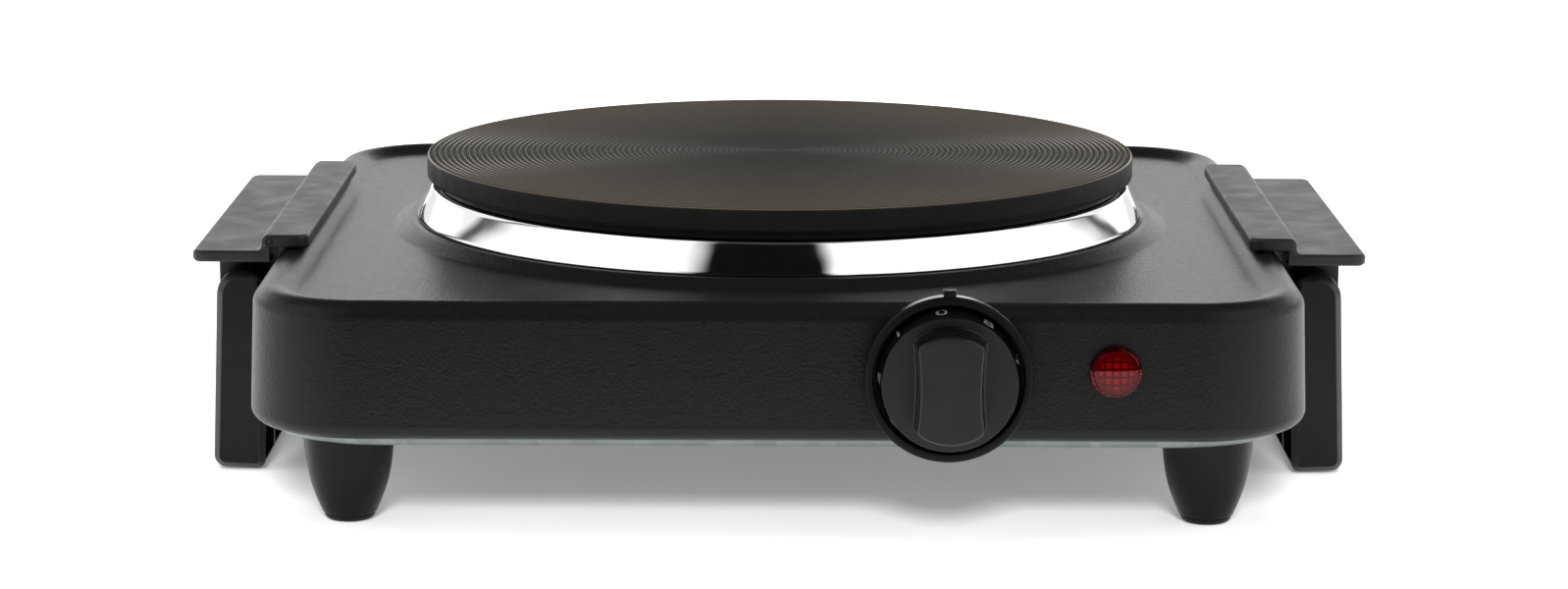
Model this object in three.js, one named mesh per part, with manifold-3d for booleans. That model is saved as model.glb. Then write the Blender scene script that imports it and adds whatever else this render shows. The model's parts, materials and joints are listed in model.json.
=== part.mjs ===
// Single electric hot plate with two swing-out side handles.
// Millimetres, +Z up, the knob faces -Y. The axis of the cooking plate is worked out as x = 0, y = 0;
// at the end the whole group is moved so that its origin is the centre of its footprint on the floor.
import * as THREE from 'three';
import { mergeVertices } from 'three/addons/utils/BufferGeometryUtils.js';
import Module from 'manifold-3d';

const wasm = await Module();
wasm.setup();

// ------------------------------------------------------------------ driving dimensions

const clearance = 0.3; // air between two pieces that bear on each other

// Feet: a hard cup with a rubber pad at its tip
const footHeight = 21.8;
const footTopRadius = 11.3;
const footTipRadius = 7.9;
const footInsetX = 23.7; // foot axis from the side of the body
const footInsetY = 23.5; // foot axis from the front and the back of the body
const footWall = 2;
const padTipRadius = 5;
const padReveal = 3.6; // how much of the pad shows under the cup

// Housing: pressed sheet steel
const housingHeight = 32.9;
const sheet = 0.8;
const sideMargin = 14.5; // flat panel between the collar's foot and the border bead, at the sides
const frontMargin = 16.1;
const backMargin = 7.3;
const cornerRadius = 28;
const sideDraft = 0.9; // how far the walls lean in between the lower and the upper edge
const lowerEdgeRadius = 3.5;
const upperEdgeRadius = 4.5;
const beadFall = 5; // width of the slope from the bead's crest to the flat panel
const beadHeight = 2;
const collarHeight = 2.4;
const collarSlope = 5.3;
const collarLip = 2.9; // the edge of the plate opening is turned down by this

// Base plate: a shallow tray under the housing
const baseReveal = 2; // what shows of it under the housing
const baseSheet = 0.8;
const baseFlange = 11;
const ventLength = 24;
const ventWidth = 3.2;
const ventPitch = 10;
const ventRows = 5;

// Cooking plate: cast iron
const plateRadius = 92.5;
const plateRim = 5.8;
const plateThickness = 13.5;
const plateNeck = 2.1; // height of the recessed neck under the rim
const rimOverhang = 3.3;
const shoulderWidth = 1.7;
const skirtWall = 4.5;
const plateEdge = 0.5;
const hollowDepth = 6.5; // of the recess between the boss and the inner coil
const bossRadius = 14;
const bossDrop = 3;
const openingMargin = 0.5; // between the plate's skirt and the opening in the housing

// Heating coils in ring channels under the plate
const coilCount = 2;
const coilRadius = 2.6;
const coilPitch = 17;
const coilGapAngle = 36; // degrees between the two ends of a coil

// Trim ring: polished steel
const ringHeight = 7.6;
const ringFlare = 2.9; // its foot stands out past the plate by this
const ringTopReach = 2.2; // its top stands out past the plate's neck by this
const ringBulge = 0.2; // of the cone between them
const ringSheet = 1;
const ringLand = 1.3; // flat of the collar outside the ring's foot

// Plate cover, clamp bridge, stud and nut
const coverSheet = 1;
const coverDepth = 13;
const coverFlange = 6;
const coverSlope = 5;
const bridgeWidth = 28;
const bridgeSheet = 2;
const bridgeGrip = 5; // how far its ends reach under the edge of the opening
const studRadius = 4;
const studTail = 3;
const washerRadius = 9;
const washerThickness = 1.6;
const nutAcrossFlats = 13;
const nutHeight = 6.5;

// Terminal block under the cover
const blockLength = 34;
const blockWidth = 15;
const blockHeight = 13;
const blockOffset = 45; // from the plate's axis towards the front
const poleRadius = 3;
const polePitch = 10;

// Controls on the front
const controlDrop = 16.4; // knob's axis below the housing's highest line
const knobX = 39.8;
const bezelRadius = 19.7;
const bezelOpening = 17.6;
const bezelDepth = 6;
const bezelFloor = 1.5;
const bezelHole = 8;
const indexWidth = 3; // the nib on the bezel that the figures are read against
const indexHeight = 1.4;
const indexLength = 3.6;
const knobFaceRadius = 15.9;
const knobSkirtRadius = 16.9;
const knobReach = 11.2; // from the front of the housing to the knob's face
const knobOverlap = 1.7; // how deep the skirt stands in the bezel
const knobWall = 1.6;
const hubRadius = 6;
const gripReach = 7.4;
const gripHalfHeight = 12.8;
const gripEndWidth = 15.5;
const gripWaist = 14.1;
const gripDraft = 0.75; // how far its sides lean out towards the knob's face
const gripFillet = 0.8;
const gripEdge = 0.5;
const spindleRadius = 3;
const spindleFlat = 1; // depth of the flat that turns the knob
const thermostatWidth = 38;
const thermostatHeight = 22;
const thermostatDepth = 24;
const thermostatPlate = 1.5;
const thermostatScrewInset = 5; // from each end of its body
const thermostatLug = 6; // mounting plate beyond each screw

// Pilot lamp
const lampX = 79;
const lampRise = 0.8; // above the knob's axis
const lensRadius = 6.1;
const lensFaceRadius = 4.3;
const lensReach = 2.4;
const lensStemRadius = 4.8;
const lensStem = 11;
const lensWall = 1.1;
const bulbRadius = 2.6;
const bulbLength = 6; // straight part of the bulb
const lampGrip = 2.5; // how deep its base sits in the lens's stem
const lampBase = 7;
const retainerRadius = 8;
const retainerThickness = 1.4;

// Side brackets: stepped mouldings that carry the handles
const bracketLength = 118;
const stripWidth = 11.9; // over the housing's top
const stripThickness = 3.2;
const stripGap = 0.5; // above the border bead
const riserThickness = 2.4;
const riserGap = 0.3; // beside the housing
const ledgeReach = 17.3; // outward from the riser
const ledgeThickness = 2.9;
const ledgeDrop = 4; // ledge's top below the strip's top
const bracketCorner = 3;
const bracketEdge = 1;
const bracketFillet = 1.4;
const lugThickness = 5.7;
const lugWidth = 14.4;

// Handles: bails with half-round arm tops, open channels towards the housing
const armWidth = 12.9;
const armDepth = 11;
const handleLength = 116; // over both arms
const pivotDrop = 8.8; // pivot below the ledge's underside
const pivotOffset = 7.8; // pivot outward from the side of the housing
const handleDrop = 44.4; // pivot to the underside of the grip
const handleLean = 2.1; // degrees that the hanging handle stands away from the housing
const gripHeight = 16;
const channelWall = 2;
const ribCount = 5;
const ribThickness = 1.6;
const armEdge = 1.6;
const pinRadius = 2.4;
const pinReach = 6.7; // into each arm

// Fasteners and the cord's inlet
const screwRadius = 1.8;
const screwHeadRadius = 2.9;
const screwHeadHeight = 2.1;
const footScrewHead = 4;
const footNutAcrossFlats = 7;
const footNutHeight = 3;
const baseScrewX = 80;
const inletX = 70;
const inletRadius = 6;
const inletBore = 3.6;
const inletFlange = 2.4;

// ------------------------------------------------------------------ derived levels and places

const baseBottomZ = footHeight + clearance;
const housingBottomZ = baseBottomZ + baseReveal;
const housingTopZ = housingBottomZ + housingHeight;
const panelZ = housingTopZ - beadHeight;
const collarZ = panelZ + collarHeight;
const ringBottomZ = collarZ + clearance;
const ringTopZ = ringBottomZ + ringHeight;
const shoulderZ = ringTopZ + clearance;
const rimBottomZ = shoulderZ + plateNeck;
const plateTopZ = rimBottomZ + plateRim;
const plateBottomZ = plateTopZ - plateThickness;
const coverTopZ = plateBottomZ - clearance;
const coverFloorZ = coverTopZ - coverDepth;
const controlZ = housingTopZ - controlDrop;
const thermostatScrewSpacing = thermostatWidth - 2 * thermostatScrewInset;

const neckRadius = plateRadius - rimOverhang;
const skirtRadius = neckRadius - shoulderWidth;
const openingRadius = skirtRadius + openingMargin;
const ringOuterRadius = plateRadius + ringFlare;
const collarRadius = ringOuterRadius + ringLand;
const collarFootRadius = collarRadius + collarSlope;

const crestInset = sideDraft + upperEdgeRadius;
const beadInset = crestInset + beadFall;
const bodyHalfWidth = collarFootRadius + sideMargin + beadInset;
const bodyFront = collarFootRadius + frontMargin + beadInset;
const bodyBack = collarFootRadius + backMargin + beadInset;

// How far the outside of a housing wall stands in from the widest outline at height z.
function wallInset(z) {
  const low = housingBottomZ + lowerEdgeRadius;
  const high = housingTopZ - upperEdgeRadius;
  return sideDraft * THREE.MathUtils.clamp((z - low) / (high - low), 0, 1);
}

// The same for the inside of the wall, which leans in more under the upper edge.
const underEdgeRise = 2.2;
const underEdgeLean = 0.8;

function innerInset(z) {
  const above = Math.max(0, z - (housingTopZ - upperEdgeRadius));
  return wallInset(z) + sheet + (above * underEdgeLean) / underEdgeRise;
}

// ------------------------------------------------------------------ materials

function material(color, roughness, metalness = 0) {
  return new THREE.MeshStandardMaterial({ color, roughness, metalness });
}

const paint = material(0x24262a, 0.55, 0.1);
const castIron = material(0x3d3c38, 0.7, 0.6);
const polished = material(0xd8d8d6, 0.08, 1);
const galvanised = material(0x97a5a6, 0.45, 0.8);
const plainSteel = material(0x9c9c98, 0.4, 0.9);
const moulding = material(0x5a5b58, 0.6);
const darkMoulding = material(0x262728, 0.5);
const knobPlastic = material(0x2b2c2e, 0.45);
const rubber = material(0x1d1d1d, 0.9);
const ceramic = material(0xd9d4c6, 0.7);
const resistance = material(0x6d6660, 0.5, 0.8);
const redLens = material(0xb01226, 0.15);
const clearGlass = material(0xe6e2dc, 0.1);

// ------------------------------------------------------------------ modelling helpers

const degrees = THREE.MathUtils.degToRad;

// A three.js geometry as a solid. Faces of no area are left out, and a skin that faces in is turned out.
function solid(geometry) {
  const bare = geometry.index ? geometry.toNonIndexed() : geometry.clone();
  bare.deleteAttribute('normal');
  bare.deleteAttribute('uv');
  const merged = mergeVertices(bare, 1e-4);
  const corners = merged.index.array;
  const faces = [];
  for (let i = 0; i < corners.length; i += 3) {
    const [a, b, c] = [corners[i], corners[i + 1], corners[i + 2]];
    if (a !== b && b !== c && c !== a) faces.push(a, b, c);
  }
  const build = (triVerts) => new wasm.Manifold(
    new wasm.Mesh({ numProp: 3, vertProperties: merged.attributes.position.array, triVerts }),
  );
  const made = build(new Uint32Array(faces));
  return made.volume() > 0 ? made : build(new Uint32Array(faces.reverse()));
}

function geometryOf(body) {
  const mesh = body.getMesh();
  const geometry = new THREE.BufferGeometry();
  geometry.setAttribute('position', new THREE.BufferAttribute(new Float32Array(mesh.vertProperties), 3));
  geometry.setIndex(new THREE.BufferAttribute(new Uint32Array(mesh.triVerts), 1));
  geometry.computeVertexNormals();
  return geometry;
}

function join(first, ...others) {
  return geometryOf(others.reduce((sum, other) => sum.add(solid(other)), solid(first)));
}

function cut(first, ...tools) {
  return geometryOf(tools.reduce((rest, tool) => rest.subtract(solid(tool)), solid(first)));
}

function common(first, second) {
  return geometryOf(solid(first).intersect(solid(second)));
}

function mirrorX(geometry) {
  const flipped = geometry.clone().scale(-1, 1, 1);
  return geometryOf(solid(flipped));
}

// A quarter turn of points in a plane, from angle a to angle b in degrees.
function arc(cx, cy, r, a, b, steps = 4) {
  const points = [];
  for (let i = 0; i <= steps; i++) {
    const angle = degrees(a + ((b - a) * i) / steps);
    points.push([cx + r * Math.cos(angle), cy + r * Math.sin(angle)]);
  }
  return points;
}

// A body of revolution about +Z from points [radius, z].
function revolve(points, segments = 40) {
  const profile = points.map(([radius, z]) => new THREE.Vector2(radius, z));
  return new THREE.LatheGeometry(profile, segments).rotateX(Math.PI / 2);
}

// The same about the -Y direction: points [radius, distance towards the front].
function revolveForward(points, segments = 40) {
  return revolve(points, segments).rotateX(Math.PI / 2);
}

function closed(points) {
  return [...points, points[0]];
}

function shapeOf(points) {
  return new THREE.Shape(points.map(([x, y]) => new THREE.Vector2(x, y)));
}

// A rectangle with rounded corners, from (x0, y0) to (x1, y1).
function roundedRect(x0, y0, x1, y1, r, steps = 4) {
  return shapeOf([
    ...arc(x1 - r, y1 - r, r, 0, 90, steps),
    ...arc(x0 + r, y1 - r, r, 90, 180, steps),
    ...arc(x0 + r, y0 + r, r, 180, 270, steps),
    ...arc(x1 - r, y0 + r, r, 270, 360, steps),
  ]);
}

// A shape drawn in x and y, standing from z0 to z1, with its ends rounded by edge.
function prism(shape, z0, z1, edge = 0) {
  const options = { depth: z1 - z0 - 2 * edge, curveSegments: 12, bevelEnabled: edge > 0 };
  if (edge > 0) {
    const bevelSegments = edge > 1 ? 2 : 1;
    Object.assign(options, { bevelSize: edge, bevelThickness: edge, bevelOffset: -edge, bevelSegments });
  }
  return new THREE.ExtrudeGeometry(shape, options).translate(0, 0, z0 + edge);
}

// A shape drawn in x and z, standing from y0 to y1.
function prismY(shape, y0, y1, edge = 0) {
  return prism(shape, -y1, -y0, edge).rotateX(Math.PI / 2);
}

// A shape drawn in y and z, standing from x0 to x1.
function prismX(shape, x0, x1, edge = 0) {
  return prism(shape, x0, x1, edge).rotateX(Math.PI / 2).rotateZ(Math.PI / 2);
}

function rod(radius, z0, z1, segments = 16) {
  return new THREE.CylinderGeometry(radius, radius, z1 - z0, segments)
    .rotateX(Math.PI / 2)
    .translate(0, 0, (z0 + z1) / 2);
}

function rodX(radius, x0, x1, segments = 16) {
  return rod(radius, x0, x1, segments).rotateY(Math.PI / 2);
}

// y0 is the front end, y1 the back end.
function rodY(radius, y0, y1, segments = 16) {
  return rod(radius, -y1, -y0, segments).rotateX(Math.PI / 2);
}

function block(x0, x1, y0, y1, z0, z1) {
  return new THREE.BoxGeometry(x1 - x0, y1 - y0, z1 - z0)
    .translate((x0 + x1) / 2, (y0 + y1) / 2, (z0 + z1) / 2);
}

// A six-sided nut from z0 to z1 with a round hole.
function hexNut(acrossFlats, hole, z0, z1) {
  const outside = rod(acrossFlats / Math.sqrt(3), z0, z1, 6);
  return cut(outside, rod(hole, z0 - 1, z1 + 1, 12));
}

// A screw along +Z: slotted head below z = 0, shank above.
function screw(length, shank = screwRadius, head = screwHeadRadius) {
  const body = revolve([
    [0, -screwHeadHeight],
    [head * 0.6, -screwHeadHeight],
    [head, -screwHeadHeight * 0.3],
    [head, 0],
    [shank, 0],
    [shank, length],
    [0, length],
  ], 8);
  const slot = screwHeadHeight / 2;
  return cut(body, block(-head, head, -0.4, 0.4, -screwHeadHeight - 1, -slot));
}

// One skin through outlines of equally many points. A ringed loft closes on its first outline.
function loft(rings, ringed) {
  const count = rings[0].length;
  const positions = rings.flat().flatMap((p) => [p.x, p.y, p.z]);
  const index = [];
  const bands = ringed ? rings.length : rings.length - 1;
  for (let k = 0; k < bands; k++) {
    const low = k * count;
    const high = ((k + 1) % rings.length) * count;
    for (let i = 0; i < count; i++) {
      const next = (i + 1) % count;
      index.push(low + i, low + next, high + next, low + i, high + next, high + i);
    }
  }
  if (!ringed) {
    const last = (rings.length - 1) * count;
    for (let i = 1; i < count - 1; i++) {
      index.push(0, i + 1, i, last, last + i, last + i + 1);
    }
  }
  const geometry = new THREE.BufferGeometry();
  geometry.setAttribute('position', new THREE.Float32BufferAttribute(positions, 3));
  geometry.setIndex(index);
  return geometry;
}

// ------------------------------------------------------------------ outlines of the body

const cornerSteps = 6;
const sideSteps = 3;
const roundSteps = 4 * (cornerSteps + sideSteps); // points of an outline, and of a circle joined to it

// The body's plan outline, stepped in by inset, at height z.
function bodyRing(inset, z) {
  const w = bodyHalfWidth - inset;
  const back = bodyBack - inset;
  const front = bodyFront - inset;
  const r = cornerRadius - inset;
  const corners = [
    arc(w - r, back - r, r, 0, 90, cornerSteps),
    arc(r - w, back - r, r, 90, 180, cornerSteps),
    arc(r - w, r - front, r, 180, 270, cornerSteps),
    arc(w - r, r - front, r, 270, 360, cornerSteps),
  ];
  return corners.flatMap((corner, k) => {
    const [x0, y0] = corner.at(-1);
    const [x1, y1] = corners[(k + 1) % 4][0];
    const side = [];
    for (let i = 1; i < sideSteps; i++) {
      const t = i / sideSteps;
      side.push([x0 + (x1 - x0) * t, y0 + (y1 - y0) * t]);
    }
    return [...corner, ...side];
  }).map(([x, y]) => new THREE.Vector3(x, y, z));
}

// A circle about the plate's axis, with its points numbered as those of the body's outline are.
function plateRing(radius, z) {
  return Array.from({ length: roundSteps }, (_, i) => {
    const angle = degrees(45 + ((i - cornerSteps / 2) * 360) / roundSteps);
    return new THREE.Vector3(radius * Math.cos(angle), radius * Math.sin(angle), z);
  });
}

// ------------------------------------------------------------------ the assembly

const hotPlate = new THREE.Group();

function add(name, geometry, look, place = [0, 0, 0]) {
  const mesh = new THREE.Mesh(geometryOf(solid(geometry)), look);
  mesh.name = name;
  mesh.position.set(...place);
  hotPlate.add(mesh);
  return mesh;
}

const sides = [['left', -1], ['right', 1]];
const footPlaces = [];
for (const [end, y] of [['front', footInsetY - bodyFront], ['back', bodyBack - footInsetY]]) {
  for (const [side, sign] of sides) {
    footPlaces.push([`${end}_${side}`, sign * (bodyHalfWidth - footInsetX), y]);
  }
}

// ------------------------------------------------------------------ housing

const lampZ = controlZ + lampRise;
const pivotX = bodyHalfWidth + pivotOffset;
const stripTopZ = housingTopZ + stripGap + stripThickness;
const ledgeTopZ = stripTopZ - ledgeDrop;
const ledgeBottomZ = ledgeTopZ - ledgeThickness;
const pivotZ = ledgeBottomZ - pivotDrop;
const lugOuterY = handleLength / 2 - armDepth - clearance;
const lugMiddleY = lugOuterY - lugThickness / 2;
const bracketScrewZ = pivotZ + pinRadius + screwRadius + 3 * clearance + 0.4;
const baseScrewZ = baseBottomZ + baseFlange - screwHeadRadius;
const inletZ = baseBottomZ + baseFlange + inletRadius + inletFlange + clearance;

// The pressing's section: up the outside, over the bead and the collar, and back along the inside.
function housingRings() {
  const low = housingBottomZ + lowerEdgeRadius;
  const high = housingTopZ - upperEdgeRadius;
  const slope = [0.3, 0.7];
  const ease = (t) => (1 - Math.cos(Math.PI * t)) / 2;
  const outside = [
    ...arc(lowerEdgeRadius, low, lowerEdgeRadius, 270, 180, 2),
    ...arc(crestInset, high, upperEdgeRadius, 180, 90, 3),
    ...slope.map((t) => [crestInset + beadFall * t, housingTopZ - beadHeight * ease(t)]),
    [beadInset, panelZ],
  ];
  const collar = [
    [collarFootRadius, panelZ],
    ...slope.map((t) => [collarFootRadius - collarSlope * t, panelZ + collarHeight * ease(t)]),
    [collarRadius, collarZ],
    ...arc(openingRadius + 1.5, collarZ - 1.5, 1.5, 90, 180, 1),
    [openingRadius, collarZ - collarLip],
    [openingRadius + sheet, collarZ - collarLip],
    [openingRadius + sheet, collarZ - sheet],
    [collarRadius - 0.3, collarZ - sheet],
    [collarFootRadius - 0.3, panelZ - sheet],
  ];
  const inside = [
    [beadInset + 0.3, panelZ - sheet],
    [crestInset, housingTopZ - sheet],
    [sideDraft + sheet + underEdgeLean, high + underEdgeRise],
    [sideDraft + sheet, high],
    [sheet, low],
    [lowerEdgeRadius, housingBottomZ + sheet],
  ];
  return [
    ...outside.map(([inset, z]) => bodyRing(inset, z)),
    ...collar.map(([radius, z]) => plateRing(radius, z)),
    ...inside.map(([inset, z]) => bodyRing(inset, z)),
  ];
}

function housing() {
  const through = 4 * upperEdgeRadius;
  const holes = [
    rodY(bezelHole - 2, -bodyFront - 1, -bodyFront + through).translate(knobX, 0, controlZ),
    rodY(lensStemRadius + clearance, -bodyFront - 1, -bodyFront + through).translate(lampX, 0, lampZ),
    rodY(inletRadius + clearance, bodyBack - through, bodyBack + 1).translate(inletX, 0, inletZ),
  ];
  for (const sign of [-1, 1]) {
    const x = knobX + (sign * thermostatScrewSpacing) / 2;
    holes.push(rodY(screwRadius + clearance, -bodyFront - 1, -bodyFront + through, 12)
      .translate(x, 0, controlZ));
    holes.push(rodY(screwRadius + clearance, bodyBack - through, bodyBack + 1, 12)
      .translate(sign * baseScrewX, 0, baseScrewZ));
    for (const end of [-1, 1]) {
      const inner = bodyHalfWidth - through;
      const hole = rodX(screwRadius + clearance, inner, bodyHalfWidth + 1, 12);
      holes.push(hole.scale(sign, 1, 1).translate(0, end * lugMiddleY, bracketScrewZ));
    }
  }
  return cut(loft(housingRings(), true), ...holes);
}

add('housing', housing(), paint);

// ------------------------------------------------------------------ base plate with vents

const flangeInset = lowerEdgeRadius + clearance;

function basePlate() {
  const floorZ = baseBottomZ + baseSheet;
  const topZ = baseBottomZ + baseFlange;
  const tray = loft([
    bodyRing(flangeInset + 1.6, baseBottomZ),
    bodyRing(flangeInset + 0.5, baseBottomZ + 0.5),
    bodyRing(flangeInset, baseBottomZ + 1.6),
    bodyRing(flangeInset, topZ),
    bodyRing(flangeInset + baseSheet, topZ),
    bodyRing(flangeInset + baseSheet, floorZ + 0.6),
    bodyRing(flangeInset + baseSheet + 0.6, floorZ),
  ], false);
  const tools = [];
  for (const sign of [-1, 1]) {
    for (let row = 0; row < ventRows; row++) {
      const y = (row - (ventRows - 1) / 2) * ventPitch;
      const x = sign * ventLength;
      const [l, w] = [ventLength / 2, ventWidth / 2];
      const slot = roundedRect(x - l, y - w, x + l, y + w, w - 0.01, 1);
      tools.push(prism(slot, baseBottomZ - 1, floorZ + 1));
    }
    tools.push(rodY(screwRadius + clearance, bodyBack - 4 * flangeInset, bodyBack, 12)
      .translate(sign * baseScrewX, 0, baseScrewZ));
  }
  for (const [, x, y] of footPlaces) {
    tools.push(rod(screwRadius + clearance, baseBottomZ - 1, floorZ + 1, 12).translate(x, y, 0));
  }
  const notchStart = knobX - thermostatScrewSpacing / 2 - thermostatLug - 1;
  const notchEnd = lampX + retainerRadius + 1;
  const notchZ = controlZ - thermostatHeight / 2 - 1;
  tools.push(block(notchStart, notchEnd, -bodyFront, -bodyFront + 4 * flangeInset, notchZ, topZ + 1));
  return cut(tray, ...tools);
}

add('base_plate', basePlate(), galvanised);

for (const [side, sign] of sides) {
  const wallY = bodyBack - wallInset(baseScrewZ);
  const geometry = screw(flangeInset + 5).rotateX(Math.PI / 2);
  add(`base_screw_${side}`, geometry, plainSteel, [sign * baseScrewX, wallY + clearance, baseScrewZ]);
}

// ------------------------------------------------------------------ feet

function foot() {
  const bulge = 1.1;
  const tipZ = padReveal + clearance;
  const height = footHeight - tipZ;
  const flare = footTopRadius - footTipRadius;
  const outside = [0, 0.3, 0.65, 1].map((t) => [
    footTipRadius + flare * t + bulge * Math.sin(Math.PI * t) * (1 - t / 2),
    tipZ + height * t,
  ]);
  const seatZ = tipZ + footWall;
  const cavityRadius = footTopRadius - footWall;
  return revolve(closed([
    [screwRadius + clearance, tipZ],
    ...outside,
    [cavityRadius, footHeight],
    [footTipRadius - footWall + 0.6, seatZ + footWall],
    [screwRadius + clearance + footWall, seatZ + footWall],
    [screwRadius + clearance + footWall, footHeight],
    [screwRadius + clearance, footHeight],
  ]), 14);
}

// The pad is a rubber cup over the tip, with a recess for the screw's head.
function footPad() {
  const headRoom = footScrewHead + clearance;
  return revolve(closed([
    [headRoom, 0],
    [padTipRadius + 0.8, 0],
    [padTipRadius + 2.1, 1.4],
    [footTipRadius - 0.3, padReveal],
    [headRoom, padReveal],
  ]), 14);
}

const footGeometry = foot();
const padGeometry = footPad();
const footScrewLength = footHeight + baseSheet + footNutHeight + 3 * clearance - padReveal + 1;
const footScrewGeometry = screw(footScrewLength, screwRadius, footScrewHead);
const footNutGeometry = hexNut(footNutAcrossFlats, screwRadius + clearance, 0, footNutHeight);
for (const [place, x, y] of footPlaces) {
  add(`foot_${place}`, footGeometry, darkMoulding, [x, y, 0]);
  add(`foot_pad_${place}`, padGeometry, rubber, [x, y, 0]);
  add(`foot_screw_${place}`, footScrewGeometry, plainSteel, [x, y, padReveal]);
  add(`foot_nut_${place}`, footNutGeometry, plainSteel, [x, y, baseBottomZ + baseSheet + clearance]);
}

// ------------------------------------------------------------------ cooking plate and what heats it

const channelHalf = coilRadius + clearance;
const channelDepth = 2 * channelHalf;
const coilZ = plateBottomZ + channelHalf;
const studHole = studRadius + clearance;
const studTopZ = plateBottomZ + plateThickness / 2;

function coilMiddle(k) {
  return skirtRadius - skirtWall - channelHalf - k * coilPitch;
}

function cookingPlate() {
  const channels = [];
  for (let k = 0; k < coilCount; k++) {
    channels.push(
      [coilMiddle(k) + channelHalf, plateBottomZ],
      [coilMiddle(k) + channelHalf, plateBottomZ + channelDepth],
      [coilMiddle(k) - channelHalf, plateBottomZ + channelDepth],
      [coilMiddle(k) - channelHalf, plateBottomZ],
    );
  }
  const hollowRadius = coilMiddle(coilCount - 1) - channelHalf - 3;
  return revolve([
    [0, plateTopZ],
    [plateRadius - plateEdge, plateTopZ],
    [plateRadius, plateTopZ - plateEdge],
    [plateRadius, rimBottomZ + plateEdge],
    [plateRadius - plateEdge, rimBottomZ],
    [neckRadius, rimBottomZ],
    [neckRadius, shoulderZ],
    [skirtRadius, shoulderZ],
    [skirtRadius, plateBottomZ],
    ...channels,
    [hollowRadius, plateBottomZ],
    [hollowRadius - 2, plateBottomZ + hollowDepth],
    [bossRadius + 2, plateBottomZ + hollowDepth],
    [bossRadius, plateBottomZ - bossDrop],
    [studHole, plateBottomZ - bossDrop],
    [studHole, studTopZ + clearance],
    [0, studTopZ + clearance],
  ], roundSteps);
}

add('hot_plate', cookingPlate(), castIron);

// An open ring of wire; its two ends face the terminal block at the front.
function heatingCoil(k) {
  const radius = coilMiddle(k);
  const steps = Math.round(roundSteps * (1 - coilGapAngle / 360));
  const wire = new THREE.EllipseCurve(0, 0, coilRadius, coilRadius);
  const section = new THREE.Shape(wire.getPoints(6).slice(0, 6));
  const path = new THREE.EllipseCurve(
    0, 0, radius, radius, degrees(-90 + coilGapAngle / 2), degrees(270 - coilGapAngle / 2),
  );
  const route = new THREE.CatmullRomCurve3(
    path.getPoints(steps).map((p) => new THREE.Vector3(p.x, p.y, coilZ)),
  );
  return new THREE.ExtrudeGeometry(section, { steps, extrudePath: route, bevelEnabled: false });
}

for (let k = 0; k < coilCount; k++) {
  add(`heating_coil_${k + 1}`, heatingCoil(k), resistance);
}

// ------------------------------------------------------------------ trim ring

// A flared skirt with an inward flange that the plate's shoulder bears on.
function trimRing() {
  const flangeRadius = skirtRadius + clearance;
  const topRadius = neckRadius + ringTopReach;
  const middleRadius = (topRadius + ringOuterRadius) / 2 + ringBulge;
  const outer = [
    [topRadius, ringTopZ - 0.4],
    [middleRadius, (ringTopZ + ringBottomZ) / 2],
    [ringOuterRadius, ringBottomZ + 0.7],
  ];
  const inner = outer.map(([radius, z]) => [radius - ringSheet, z - 0.3]).reverse();
  inner[inner.length - 1] = [outer[0][0] - ringSheet, ringTopZ - ringSheet];
  return revolve(closed([
    [flangeRadius, ringTopZ - ringSheet],
    [flangeRadius, ringTopZ],
    [topRadius - 0.4, ringTopZ],
    ...outer,
    [ringOuterRadius, ringBottomZ],
    [ringOuterRadius - ringSheet, ringBottomZ],
    ...inner,
  ]), roundSteps);
}

add('trim_ring', trimRing(), polished);

// ------------------------------------------------------------------ plate cover and clamp

const coverRadius = skirtRadius - openingMargin;
const coverWallRadius = coverRadius - coverFlange;
const coverFloorRadius = coverWallRadius - coverSlope;
const bridgeTopZ = coverFloorZ - clearance;
const bridgeEndZ = collarZ - collarLip - clearance;
const bridgeReach = openingRadius + bridgeGrip;
const washerTopZ = bridgeTopZ - bridgeSheet - clearance;
const nutTopZ = washerTopZ - washerThickness - clearance;

function plateCover() {
  return revolve(closed([
    [studHole, coverFloorZ],
    [coverFloorRadius, coverFloorZ],
    [coverWallRadius, coverTopZ - coverSheet],
    [coverRadius, coverTopZ - coverSheet],
    [coverRadius, coverTopZ],
    [coverWallRadius - coverSheet, coverTopZ],
    [coverFloorRadius - coverSheet, coverFloorZ + coverSheet],
    [studHole, coverFloorZ + coverSheet],
  ]), 24);
}

add('plate_cover', plateCover(), galvanised);

// A pressed strap: hooked ends under the opening's edge, joggled down to pass under the cover.
function clampBridge() {
  const kneeX = openingRadius - 5;
  const heelX = coverFloorRadius + coverSlope;
  const half = [
    [bridgeReach, bridgeEndZ],
    [kneeX, bridgeEndZ],
    [heelX, bridgeTopZ],
  ];
  const under = [
    [heelX + bridgeSheet * 0.6, bridgeTopZ - bridgeSheet],
    [kneeX + bridgeSheet * 0.6, bridgeEndZ - bridgeSheet],
    [bridgeReach, bridgeEndZ - bridgeSheet],
  ];
  const flip = (points) => points.map(([x, z]) => [-x, z]).reverse();
  const section = shapeOf([...half, ...flip(half), ...flip(under), ...under]);
  const strap = prismY(section, -bridgeWidth / 2, bridgeWidth / 2);
  return cut(strap, rod(studHole, bridgeTopZ - 10, bridgeTopZ + 10));
}

add('clamp_bridge', clampBridge(), galvanised);
add('centre_stud', rod(studRadius, nutTopZ - nutHeight - studTail, studTopZ), plainSteel);
add('clamp_washer', revolve(closed([
  [studHole, washerTopZ - washerThickness],
  [washerRadius, washerTopZ - washerThickness],
  [washerRadius, washerTopZ],
  [studHole, washerTopZ],
]), 16), plainSteel);
add('clamp_nut', hexNut(nutAcrossFlats, studHole, nutTopZ - nutHeight, nutTopZ), plainSteel);

// ------------------------------------------------------------------ terminal block

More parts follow.
